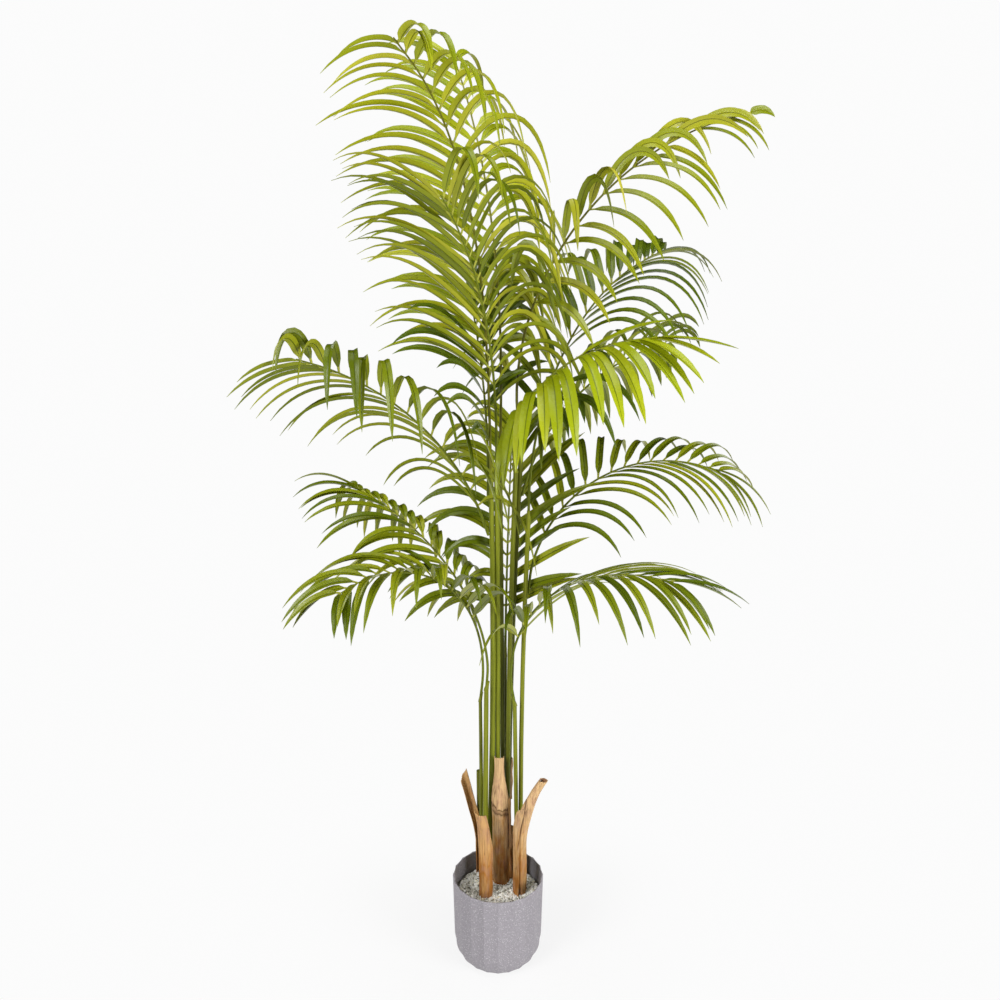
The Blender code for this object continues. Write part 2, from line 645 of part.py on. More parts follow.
def keep_largest(mesh):
    """Drop loose scraps and sealed hollows: only the largest connected shell stays."""
    shape = bmesh.new()
    shape.from_mesh(mesh)
    left = set(shape.verts)
    shells = []
    while left:
        shell = {left.pop()}
        edge = set(shell)
        while edge:
            edge = {
                other.other_vert(vertex) for vertex in edge for other in vertex.link_edges} - shell
            shell |= edge
        left -= shell
        shells.append(shell)
    shells.sort(key=len)
    for shell in shells[:-1]:
        bmesh.ops.delete(shape, geom=list(shell), context="VERTS")
    shape.to_mesh(mesh)
    shape.free()


def build_fronds(carriers, collection):
    fronds = {name: FROND_DEFAULTS | frond for name, frond in FRONDS.items()}
    paths = {name: rib_path(frond) for name, frond in fronds.items()}
    radii = [rib_radius(part / RIB_PARTS) for part in range(RIB_PARTS + 1)]
    ribs = {name: tube_mesh(name, path, radii, 0, collection) for name, path in paths.items()}
    rib_shapes = {
        name: ([vertex.co.copy() for vertex in mesh.vertices],
               [tuple(face.vertices) for face in mesh.polygons])
        for name, mesh in ribs.items()}
    bpy.context.view_layer.update()
    carrier_shapes = [shape_of(item) for item in carriers]
    taken = []
    for name, frond in fronds.items():
        fixed = carrier_shapes + [shape for other, shape in rib_shapes.items() if other != name]
        leaflets = fitted_leaflets(name, frond, paths[name], rib_shapes[name], fixed, taken)
        taken += leaflets
        print(name, "leaflets", len(leaflets), "of", 2 * frond["pairs"])
        join_frond(name, ribs[name], leaflets, collection)


def main():
    clear_scene()
    palm = bpy.data.collections.new(NAME)
    bpy.context.scene.collection.children.link(palm)
    carriers = [build_pot(palm), build_filling(palm)]
    carriers += [build_sheath(name, sheath, palm) for name, sheath in SHEATHS.items()]
    carriers += [build_stem(name, stem, palm) for name, stem in STEMS.items()]
    build_fronds(carriers, palm)


main()
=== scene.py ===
"""The looks of an artificial areca palm in a fluted pot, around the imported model.

Metres, +Z up. The front is -Y. Fronds grow by the same rule as the solids, with finer leaflets.
"""
import random
from math import cos, pi, radians, sin

import bmesh
import bpy
from mathutils import Matrix, Vector, noise
from mathutils.bvhtree import BVHTree


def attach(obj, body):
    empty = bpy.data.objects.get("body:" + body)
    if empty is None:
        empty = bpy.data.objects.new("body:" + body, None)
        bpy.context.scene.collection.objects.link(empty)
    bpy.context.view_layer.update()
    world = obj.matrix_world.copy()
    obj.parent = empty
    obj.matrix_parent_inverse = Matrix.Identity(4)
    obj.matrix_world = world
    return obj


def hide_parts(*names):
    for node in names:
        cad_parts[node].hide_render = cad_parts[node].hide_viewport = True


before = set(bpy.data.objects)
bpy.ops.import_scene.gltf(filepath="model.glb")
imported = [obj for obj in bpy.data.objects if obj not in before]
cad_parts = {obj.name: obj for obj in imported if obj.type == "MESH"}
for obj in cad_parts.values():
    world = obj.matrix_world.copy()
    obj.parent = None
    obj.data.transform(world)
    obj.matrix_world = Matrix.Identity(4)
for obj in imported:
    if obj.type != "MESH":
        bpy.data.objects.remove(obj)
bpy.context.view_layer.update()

UP = Vector((0.0, 0.0, 1.0))
GAP = 0.0003
FILL_LEVEL = 0.150

# Camera: focal length and sensor give the photo's field of view
CAMERA_PLACE = (0.0, -1.75, 1.485)
CAMERA_PITCH = 16.0
CAMERA_LENS = 36.0
CAMERA_SENSOR = 36.0
CAMERA_SHIFT = 0.002

# Pot
POT_HEIGHT = 0.190
POT_RADIUS = 0.092
POT_WAIST_RADIUS = 0.0895
POT_FOOT_RADIUS = 0.052
POT_CORNER_HEIGHT = 0.056
POT_WALL = 0.004
POT_FLOOR = 0.008
FLUTES = 20
FLUTE_DEPTH = 0.0022
POT_STEPS = 240
RIM_ROUND = 0.0013

# Gravel
CHIP_COUNT = 3400
CHIP_SIZE = (0.0018, 0.0037)
BED_RISE = 0.006
BED_RADIUS = 0.0845

# Sheaths, as in the solids
SHEATH_THICKNESS = 0.0014
SHEATH_ROWS = 150
SHEATH_COLUMNS = 52
SHEATH_WAIST_HEIGHT = 0.6
SHEATHS = {
    "sheath_centre": dict(
        foot=(0.0072, 0.0265), top=(0.0025, 0.0205), base=0.0, height=0.298, facing=-90,
        bend=(0.0, 1.0), radius=(0.0176, 0.0100), narrow=(0.62, 0.92), waist=0.0006,
        arc=(190, 170), cut=0.0),
    "sheath_centre_layer": dict(
        foot=(0.0129, 0.0248), top=(0.0119, 0.0248), base=0.085, height=0.204, facing=-20,
        bend=(0.5, 1.1), radius=(0.0145, 0.0125), narrow=(0.5, 1.0), waist=0.0,
        arc=(52, 46), cut=0.0),
    "sheath_centre_right": dict(
        foot=(0.0228, 0.0415), top=(0.0236, 0.0400), base=0.0, height=0.135, facing=-20,
        bend=(0.0, 1.0), radius=(0.0093, 0.0089), narrow=(0.0, 1.0), waist=0.0,
        arc=(150, 130), cut=0.10),
    "sheath_right": dict(
        foot=(0.0446, -0.0080), top=(0.0890, -0.0160), base=0.0, height=0.266, facing=-80,
        bend=(0.45, 2.0), radius=(0.0138, 0.0085), narrow=(0.60, 1.0), waist=0.0014,
        arc=(220, 352), cut=0.0),
    "sheath_left_front": dict(
        foot=(-0.0246, -0.0180), top=(-0.0368, -0.0260), base=0.0, height=0.205, facing=-95,
        bend=(0.50, 2.2), radius=(0.0138, 0.0112), narrow=(0.5, 1.0), waist=0.0008,
        arc=(200, 160), cut=0.05),
    "sheath_left_back": dict(
        foot=(-0.0365, 0.0540), top=(-0.0725, 0.0480), base=0.0, height=0.250, facing=105,
        bend=(0.33, 1.2), radius=(0.0095, 0.0105), narrow=(0.6, 1.0), waist=0.0,
        arc=(150, 130), cut=0.13),
    "sheath_back_right": dict(
        foot=(0.0208, 0.0525), top=(0.0219, 0.0504), base=0.183, height=0.277, facing=10,
        bend=(0.0, 1.0), radius=(0.0080, 0.0080), narrow=(0.0, 1.0), waist=0.0,
        arc=(170, 120), cut=0.0),
}

# A torn flap lies over one sheath: its share of the height, how far it stands off and its edge
FLAP_OF = "sheath_right"
FLAP = dict(
    facing=-155, arc=(104, 120), high=0.80, out=0.0013, cut=-0.13, narrow=(0.85, 1.2),
    bend=(0.53, 2.0))
FLAP_CURL = 3.2
FLAP_CURL_START = 0.6

# One sheath is folded along its middle into a channel: how deep, and how wide the fold is
CHANNEL_OF = "sheath_left_back"
CHANNEL_DEPTH = 0.0032
CHANNEL_WIDTH = 0.75

# How ragged each torn top is, the depth of folds, and the angles and depths of sharp creases
RAGS = dict(
    sheath_centre=0.012, sheath_centre_layer=0.06, sheath_centre_right=0.03, sheath_right=0.003,
    sheath_left_front=0.015, sheath_left_back=0.02, sheath_back_right=0.06)
FOLD_DEPTH = 0.0021
CREASE_DEPTH = 0.0011
CREASE_WIDTH = 0.12
CREASE_LEAN = 0.8
CREASES = 7
GOLDEN = ("sheath_centre", "sheath_right", "sheath_back_right")

# Stems, as in the solids
STEM_PARTS = 5
STEM_FINE_PARTS = 60
STEM_SIDES = 16
STEMS = {
    "stem_centre_left": dict(
        foot=(-0.0190, 0.034), top=(-0.0130, 0.022, 1.02), radius=(0.0062, 0.0046), bow=0.006),
    "stem_centre": dict(
        foot=(-0.0035, 0.042), top=(-0.0028, 0.025, 1.04), radius=(0.0056, 0.0046), bow=0.003),
    "stem_centre_back": dict(
        foot=(0.0112, 0.054), top=(0.0032, 0.038, 1.05), radius=(0.0048, 0.0045), bow=0.001),
    "stem_back": dict(
        foot=(0.012, 0.070), top=(0.0145, 0.055, 0.65), radius=(0.0042, 0.0034), bow=0.0),
    "stem_right_front": dict(
        foot=(0.0205, 0.039), top=(0.0325, 0.028, 1.03), radius=(0.0046, 0.0045), bow=-0.005),
    "stem_right_back": dict(
        foot=(0.0215, 0.0565), top=(0.0430, 0.036, 1.08), radius=(0.0046, 0.0045), bow=-0.006),
    "stem_low_right": dict(
        foot=(0.040, 0.030), top=(0.0325, 0.014, 0.565), radius=(0.0044, 0.0040), bow=0.0),
    "stem_far_right": dict(
        foot=(0.0480, 0.038), top=(0.0565, 0.020, 0.94), radius=(0.0046, 0.0042), bow=-0.0055),
    "stem_left": dict(
        foot=(-0.0272, 0.021), top=(-0.0225, 0.010, 0.60), radius=(0.0064, 0.0044), bow=0.0),
    "stem_low_left": dict(
        foot=(-0.0355, 0.038), top=(-0.0345, 0.022, 0.57), radius=(0.0042, 0.0034), bow=0.0012),
    "stem_stub": dict(
        foot=(-0.0385, 0.0695), top=(-0.0391, 0.066, 0.388), radius=(0.0050, 0.0050), bow=0.0),
}

# Fronds, as in the solids
FROND_DEFAULTS = dict(
    swing=0, bend=1.0, bare=0.20, roll=0, twist=0, lift=(25, 25), droop=(1.6, 1.6), arch=(1.3, 1.3),
    spread=(60, 34), gather=(1.0, 1.0), level=0.5, width=0.0155, taper=0.30,
    stiff=0.0)
FRONDS = {
    "frond_crown_left": dict(
        stem="stem_centre_left", length=0.8, azimuth=257, swing=-17, rise=86, fall=26, bend=1.95,
        bare=0.22, pairs=20, leaflet=0.24, roll=7, twist=-25, lift=(60, -17), droop=(3.7, 1.2),
        arch=(1.7, 0.9), spread=(36, 46), gather=(1.2, 0.75), level=0.45, width=0.0165, taper=0.4),
    "frond_crown_front": dict(
        stem="stem_centre", length=0.555, azimuth=264, swing=-19, rise=102, fall=39, bend=0.55,
        bare=0.23, pairs=18, leaflet=0.25, roll=21, lift=(35, 22), droop=(2.8, 1.0),
        arch=(1.8, 2.1), spread=(38, 33), gather=(1.45, 1.0), level=0.45, width=0.016, taper=0.05),
    "frond_crown_back": dict(
        stem="stem_centre_back", length=0.71, azimuth=124, swing=17, rise=93, fall=65, bend=1.35,
        bare=0.29, pairs=18, leaflet=0.24, roll=-19, twist=-13, lift=(-19, -9), droop=(1, 2.8),
        arch=(2.4, 1), spread=(54, 39), level=0.4, width=0.0155),
    "frond_high_right": dict(
        stem="stem_right_back", length=0.8, azimuth=8, swing=10, rise=103, fall=9, bend=0.9,
        bare=0.32, pairs=17, leaflet=0.19, roll=14, twist=-7, lift=(98, -22), droop=(2.2, 2.1),
        arch=(1.2, 1.5), spread=(66, 24), gather=(0.62, 1.0), level=0.4, width=0.016, taper=0.6,
        stiff=0.35),
    "frond_back_right": dict(
        stem="stem_far_right", length=0.64, azimuth=47, swing=-7, rise=91, fall=11, bend=1.1,
        bare=0.31, pairs=17, leaflet=0.245, roll=19, twist=-3, lift=(24, 31), droop=(1.7, 2.4),
        arch=(1.5, 2.0), spread=(56, 45), gather=(0.8, 1.0), level=0.4, width=0.0155),
    "frond_front_right": dict(
        stem="stem_right_front", length=0.395, azimuth=-32, swing=28.5, rise=116, fall=3,
        bend=0.62, bare=0.24, pairs=17, leaflet=0.19, roll=10, lift=(0, 12), droop=(0.6, 2.8),
        arch=(1.6, 0.9), spread=(72, 36), gather=(0.2, 1.0), level=0.65, width=0.023, taper=-0.1,
        stiff=0.9),
    "frond_lower_right": dict(
        stem="stem_far_right", height=0.79, length=0.525, azimuth=34, swing=-29, rise=92,
        fall=-24, bend=0.82, bare=0.23, pairs=16, leaflet=0.21, roll=31, twist=-4, lift=(5, 20),
        droop=(1.5, 1.9), arch=(1.5, 1.8), spread=(44, 36), gather=(1.2, 1.0), level=0.5,
        width=0.0145, taper=0.1),
    "frond_lowest_right": dict(
        stem="stem_low_right", length=0.52, azimuth=-37, swing=9, rise=111, fall=-7, bend=0.8,
        bare=0.28, pairs=15, leaflet=0.24, roll=-10, twist=14, lift=(-6, 4), droop=(0.9, 1.2),
        arch=(1.5, 1.5), spread=(45, 34), level=0.35, width=0.0145, taper=0.2, stiff=0.2),
    "frond_upper_left": dict(
        stem="stem_centre_left", height=0.91, length=0.54, azimuth=215, swing=7, rise=72, fall=17,
        bend=0.95, bare=0.12, pairs=16, leaflet=0.235, roll=20, twist=45, lift=(20, 29),
        droop=(3.8, 1.7), arch=(1.1, 1.5), spread=(35, 35), gather=(1.6, 1.0), level=0.2,
        width=0.015, taper=0.35, stiff=0.5),
    "frond_middle_left": dict(
        stem="stem_left", length=0.495, azimuth=164, swing=-2, rise=103, fall=23, bend=0.7,
        bare=0.39, pairs=15, leaflet=0.185, roll=-24, twist=34, lift=(0, 35), droop=(1.2, 3.0),
        arch=(1.5, 1.0), spread=(67, 28), gather=(0.8, 0.8), level=0.3, width=0.017, taper=0.0),
    "frond_lowest_left": dict(
        stem="stem_low_left", length=0.53, azimuth=219, swing=3, rise=102, fall=-21, bend=1.1,
        bare=0.29, pairs=16, leaflet=0.235, roll=-19, twist=-17, lift=(43, 11), droop=(1.5, 1.7),
        arch=(2.7, 0.8), spread=(45, 47), level=0.4, width=0.0155, taper=0.35),
    "frond_behind_left": dict(
        stem="stem_centre_left", height=0.98, length=0.38, azimuth=142, rise=91, fall=75,
        bend=1.15, bare=0.29, pairs=12, leaflet=0.2, roll=-4, twist=1, lift=(17, 39),
        droop=(1, 0.9), arch=(1.9, 1.8), spread=(57, 26), level=0.4, width=0.016),
    "frond_inner_right": dict(
        stem="stem_right_back", height=0.98, length=0.43, azimuth=28, swing=-4, rise=78, fall=9,
        bend=0.85, bare=0.25, pairs=15, leaflet=0.19, roll=-15, twist=-14, lift=(-10, 40),
        droop=(2.1, 1.8), arch=(1.6, 1.6), spread=(67, 37), level=0.4, width=0.015),
    "frond_centre_back": dict(
        stem="stem_back", length=0.46, azimuth=79, swing=5, rise=88, fall=65, bend=1.15,
        bare=0.22, pairs=17, leaflet=0.205, roll=-11, twist=12, lift=(21, 23), droop=(1.6, 0.3),
        arch=(1.7, 1.9), spread=(60, 38), level=0.25, width=0.0165),
}
# Leaf kind of each frond, by where it sits in the light: the brighter kinds are painted light near the
# top and front, the shaded and darker kinds are painted shade behind and low down, and the others are
# plain green.
FROND_KINDS = dict(
    frond_crown_left="sunlit", frond_crown_back="sunlit", frond_high_right="mellow",
    frond_front_right="fresh", frond_behind_left="shaded", frond_inner_right="shaded",
    frond_back_right="shaded", frond_lowest_right="deep")

# Midribs
CAD_RIB_PARTS = 10
RIB_PARTS = 40
RIB_SIDES = 10
RIB_FOOT_RADIUS = 0.0027
RIB_TIP_RADIUS = 0.0013
RIB_LAST_PAIR = 0.985
PAIR_CROWDING = 1.15

# Leaflets
LEAFLET_FOLD = 0.003
LEAFLET_STEPS = 16
LEAFLET_ROOT_START = 0.2
BLADE_SHARES = (0.0, 0.04, 0.16, 0.55, 0.70, 0.85, 0.95, 1.0)
BLADE_WIDTHS = (0.24, 0.24, 1.0, 1.0, 0.82, 0.50, 0.22, 0.02)
BLADE_COLUMNS = (-1.0, -0.55, -0.09, 0.09, 0.55, 1.0)
BLADE_VEIN = 2
STALK_ROWS = 1
BLADE_RAISE = 0.42
BLADE_THICKNESS = 0.0006
STALK_THICKNESS = 0.0022
END_LENGTH = 0.72
FIRST_PHASE = 0.15
ANGLE_VARIATION = 6.0
LENGTH_VARIATION = 0.10
DROOP_VARIATION = 0.15
CLEARANCE = 0.0006
NUDGES = (
    (0, 1.0, 1.0), (9, 1.0, 1.0), (-9, 1.0, 1.0), (0, 0.8, 1.0), (0, 1.25, 1.0), (18, 0.9, 1.0),
    (-18, 1.1, 1.0), (9, 0.7, 1.0), (-9, 1.4, 1.0), (27, 0.8, 0.9), (-27, 1.0, 0.9),
    (0, 1.0, 0.75), (15, 0.8, 0.7), (-15, 1.2, 0.7), (0, 1.0, 0.5), (25, 0.8, 0.5),
)

# Colours, linear
# Leaf kinds are lit and shaded copies of one green, for upper sides, undersides, veins and ribs alike:
# the brighter kinds hold painted light, the shaded kind holds painted shade, and green is the plain
# tone.
LEAF_TONES = {
    "sunlit": (
        (0.235, 0.275, 0.007), (0.285, 0.315, 0.010), (0.190, 0.235, 0.005), (0.335, 0.350, 0.014)),
    "fresh": (
        (0.270, 0.322, 0.005), (0.305, 0.350, 0.007), (0.245, 0.292, 0.004), (0.330, 0.368, 0.010)),
    "green": (
        (0.152, 0.188, 0.004), (0.198, 0.228, 0.006), (0.096, 0.130, 0.003), (0.265, 0.288, 0.010)),
    "shaded": (
        (0.098, 0.140, 0.005), (0.130, 0.172, 0.007), (0.068, 0.104, 0.004), (0.160, 0.198, 0.010)),
}
# Undersides are paler than the upper sides, and they also carry painted light where the lamps shine
# through the thin blades.
UNDER_TONES = {
    "sunlit": (
        (0.350, 0.368, 0.012), (0.415, 0.418, 0.018), (0.265, 0.298, 0.008), (0.470, 0.460, 0.035)),
    "fresh": (
        (0.335, 0.368, 0.010), (0.370, 0.395, 0.014), (0.300, 0.332, 0.008), (0.410, 0.425, 0.022)),
    "green": (
        (0.190, 0.218, 0.006), (0.245, 0.262, 0.009), (0.125, 0.152, 0.004), (0.310, 0.314, 0.014)),
    "shaded": (
        (0.132, 0.162, 0.008), (0.165, 0.192, 0.010), (0.095, 0.124, 0.006), (0.195, 0.215, 0.016)),
}
TONE_SHARES = (5, 4, 3, 2)
TONES = len(TONE_SHARES)
VEIN_TONES = {
    "sunlit": (0.120, 0.130, 0.003),
    "fresh": (0.115, 0.150, 0.003),
    "green": (0.055, 0.075, 0.002),
    "shaded": (0.040, 0.060, 0.002),
}
RIB_TONES = {
    "sunlit": (0.180, 0.180, 0.012),
    "fresh": (0.190, 0.215, 0.012),
    "green": (0.150, 0.180, 0.008),
    "shaded": (0.120, 0.145, 0.007),
}
# Kinds scaled from others: a dimmer, slightly bluer copy of the painted-light sunlit tones for one
# crown frond, and a darker copy of green as painted shade for the lowest frond.
KIND_SHIFTS = {"mellow": ("sunlit", (0.88, 0.85, 1.05)), "deep": ("green", (0.80, 0.85, 0.85))}
STALK_TONE = (0.340, 0.350, 0.040)
# Stem tones, a bright and a dark one each for the streaks: lit is painted light on the front stems,
# shaded is painted shade on the stems behind and is the default, and the other two tones lie in
# between.
STEM_TONES = {
    "lit": ((0.215, 0.240, 0.013), (0.140, 0.160, 0.008)),
    "plain": ((0.200, 0.215, 0.012), (0.120, 0.135, 0.006)),
    "old": ((0.150, 0.170, 0.009), (0.095, 0.100, 0.005)),
    "shaded": ((0.130, 0.145, 0.007), (0.080, 0.090, 0.004)),
}
STEM_KINDS = {
    "stem_centre_left": "lit",
    "stem_centre": "lit",
    "stem_left": "plain",
    "stem_far_right": "plain",
    "stem_low_right": "plain",
    "stem_right_front": "old",
    "stem_low_left": "old",
    "stem_stub": "old",
}
GOLDEN_TONES = ((0.370, 0.145, 0.024), (0.470, 0.260, 0.090), (0.600, 0.395, 0.195))
RUSSET_TONES = ((0.370, 0.145, 0.022), (0.470, 0.240, 0.075), (0.520, 0.300, 0.115))
BARK_GREY = (0.400, 0.215, 0.130)
BARK_DARK = (0.085, 0.036, 0.012)
# Inner skin of the husks, darker than the outside: painted shade inside the rolled sheets.
BARK_INSIDE_SHADE = ((0.190, 0.070, 0.030), (0.250, 0.105, 0.050), (0.320, 0.160, 0.080))
BARK_TURN = (0.140, 0.400)
PATCH_CONTRAST = 1.8
# Painted shadow line along the free edge of the right sheath's flap: its slant with height, its place,
# how far it spreads and the heights where it shows.
FLAP_SHADOW_SLOPE = 0.16
FLAP_SHADOW_PLACE = -0.0038
FLAP_SHADOW_REACH = 0.0030
FLAP_SHADOW_SPAN = (0.255, 0.285)
SCAR_LEVEL = 0.338
SCAR_SLANT = 0.40
SCAR_WAVE = 0.030
SCAR_LINES = ((0.006, 0.0260, 0.40), (0.0, 0.0075, 0.85), (0.012, 0.0085, 0.75))
CHIP_TONES = (
    (0.880, 0.870, 0.810), (0.950, 0.945, 0.910), (0.700, 0.690, 0.610), (0.965, 0.960, 0.940),
    (0.300, 0.290, 0.240), (0.800, 0.730, 0.560))
CHIP_SHARES = (5, 5, 3, 3, 2, 1)
# Gravel bed under the chips, darker than they are: painted shade in the gaps between the chips.
BED_SHADE_TONE = (0.340, 0.325, 0.280)
POT_TONE = (0.280, 0.262, 0.284)
POT_MOTTLE = (0.236, 0.220, 0.240)
SPECKLE_TONE = (0.660, 0.645, 0.660)
FLOOR_TONE = (0.900, 0.900, 0.900)
BACKDROP_TONE = (0.970, 0.970, 0.970)
FLOOR_FADE = (0.05, 0.60)
FLOOR_GLOW = 0.85

# Lights: place, size in metres and power in watts
LIGHTS = {
    "key": ((-3.1, -3.3, 3.0), 2.4, 215.0),
    "fill": ((3.6, -2.8, 1.7), 2.6, 210.0),
    "top": ((0.0, -0.4, 5.0), 3.5, 115.0),
    "back_left": ((-3.2, 3.0, 1.8), 2.2, 30.0),
    "back_right": ((3.2, 3.0, 1.8), 2.2, 30.0),
}


def new_material(name, colour, roughness=0.5):
    material = bpy.data.materials.new(name)
    material.use_nodes = True
    shader = material.node_tree.nodes["Principled BSDF"]
    shader.inputs["Base Color"].default_value = (*colour, 1.0)
    shader.inputs["Roughness"].default_value = roughness
    return material


def shader_of(material):
    return material.node_tree.nodes["Principled BSDF"]


def add_node(material, kind, **settings):
    node = material.node_tree.nodes.new(kind)
    for key, value in settings.items():
        setattr(node, key, value)
    return node


def coordinates(material, scale, source="Object"):
    """Texture coordinates stretched by a scale."""
    links = material.node_tree.links
    place = add_node(material, "ShaderNodeTexCoord")
    mapping = add_node(material, "ShaderNodeMapping")
    mapping.inputs["Scale"].default_value = scale
    links.new(place.outputs[source], mapping.inputs["Vector"])
    return mapping.outputs["Vector"]


def add_noise(material, vector, scale, detail=3.0, rough=0.55):
    texture = add_node(material, "ShaderNodeTexNoise")
    texture.inputs["Scale"].default_value = scale
    texture.inputs["Detail"].default_value = detail
    texture.inputs["Roughness"].default_value = rough
    material.node_tree.links.new(vector, texture.inputs["Vector"])
    return texture.outputs["Fac"]


def add_ramp(material, value, stops):
    """A colour ramp over a value, from (place, colour) stops."""
    ramp = add_node(material, "ShaderNodeValToRGB")
    elements = ramp.color_ramp.elements
    while len(elements) < len(stops):
        elements.new(0.5)
    for element, (place, colour) in zip(elements, stops):
        element.position = place
        element.color = (*colour, 1.0)
    material.node_tree.links.new(value, ramp.inputs["Fac"])
    return ramp.outputs["Color"]


def add_bump(material, height, strength, distance):
    bump = add_node(material, "ShaderNodeBump")
    bump.inputs["Strength"].default_value = strength
    bump.inputs["Distance"].default_value = distance
    material.node_tree.links.new(height, bump.inputs["Height"])
    material.node_tree.links.new(bump.outputs["Normal"], shader_of(material).inputs["Normal"])


def vary_roughness(material, value, low, high):
    spread = add_node(material, "ShaderNodeMapRange")
    spread.inputs["To Min"].default_value = low
    spread.inputs["To Max"].default_value = high
    links = material.node_tree.links
    links.new(value, spread.inputs["Value"])
    links.new(spread.outputs["Result"], shader_of(material).inputs["Roughness"])


def leaf_material(name, colour, gloss):
    """A moulded plastic blade: fine lengthwise veins and a soft sheen."""
    material = new_material(name, colour)
    veins = add_noise(material, coordinates(material, (34.0, 0.9, 1.0), "UV"), 1.0, 2.0)
    add_bump(material, veins, 0.5, 0.0004)
    mottle = add_noise(material, coordinates(material, (1.0, 1.0, 1.0)), 45.0, 2.0)
    vary_roughness(material, mottle, gloss, gloss + 0.14)
    shader_of(material).inputs["Specular IOR Level"].default_value = 0.28
    return material


def streak_colour(material, vector, low, high):
    """Two colours mixed by streaks along the piece."""
    streaks = add_noise(material, vector, 1.0, 3.0)
    colour = add_ramp(material, streaks, ((0.36, low), (0.62, high)))
    material.node_tree.links.new(colour, shader_of(material).inputs["Base Color"])
    return streaks


def stem_material(name, bright, dark):
    material = new_material(name, bright)
    grain = streak_colour(material, coordinates(material, (420.0, 420.0, 7.0)), dark, bright)
    add_bump(material, grain, 0.35, 0.0004)
    vary_roughness(material, grain, 0.40, 0.58)
    shader_of(material).inputs["Specular IOR Level"].default_value = 0.2
    return material


def blend(material, factor, first, second):
    """A mix of two colours, each a plain tone or an output."""
    mix = add_node(material, "ShaderNodeMix", data_type="RGBA")
    links = material.node_tree.links
    links.new(factor, mix.inputs["Factor"])
    for socket, colour in (("A", first), ("B", second)):
        if isinstance(colour, tuple):
            mix.inputs[socket].default_value = (*colour, 1.0)
        else:
            links.new(colour, mix.inputs[socket])
    return mix.outputs["Result"]


def calculate(material, operation, *values):
    node = add_node(material, "ShaderNodeMath", operation=operation)
    for socket, value in zip(node.inputs, values):
        if isinstance(value, float):
            socket.default_value = value
        else:
            material.node_tree.links.new(value, socket)
    return node.outputs["Value"]


def flap_shadow_marks(material, parts, smudge):
    """How dark the long painted shadow line beside the right sheath's flap is at each place."""
    lean = calculate(material, "MULTIPLY", parts.outputs["Z"], FLAP_SHADOW_SLOPE)
    place = calculate(material, "SUBTRACT", parts.outputs["X"], lean)
    away = calculate(material, "ABSOLUTE", calculate(material, "SUBTRACT", place, FLAP_SHADOW_PLACE))
    line = calculate(material, "ADD", calculate(material, "DIVIDE", away, FLAP_SHADOW_REACH), smudge)
    marks = add_ramp(material, line, ((0.60, (0.85, 0.85, 0.85)), (1.0, (0.0, 0.0, 0.0))))
    height = add_node(material, "ShaderNodeMapRange")
    height.inputs["From Min"].default_value = FLAP_SHADOW_SPAN[0]
    height.inputs["From Max"].default_value = FLAP_SHADOW_SPAN[1]
    material.node_tree.links.new(parts.outputs["Z"], height.inputs["Value"])
    return calculate(material, "MULTIPLY", marks, height.outputs["Result"])


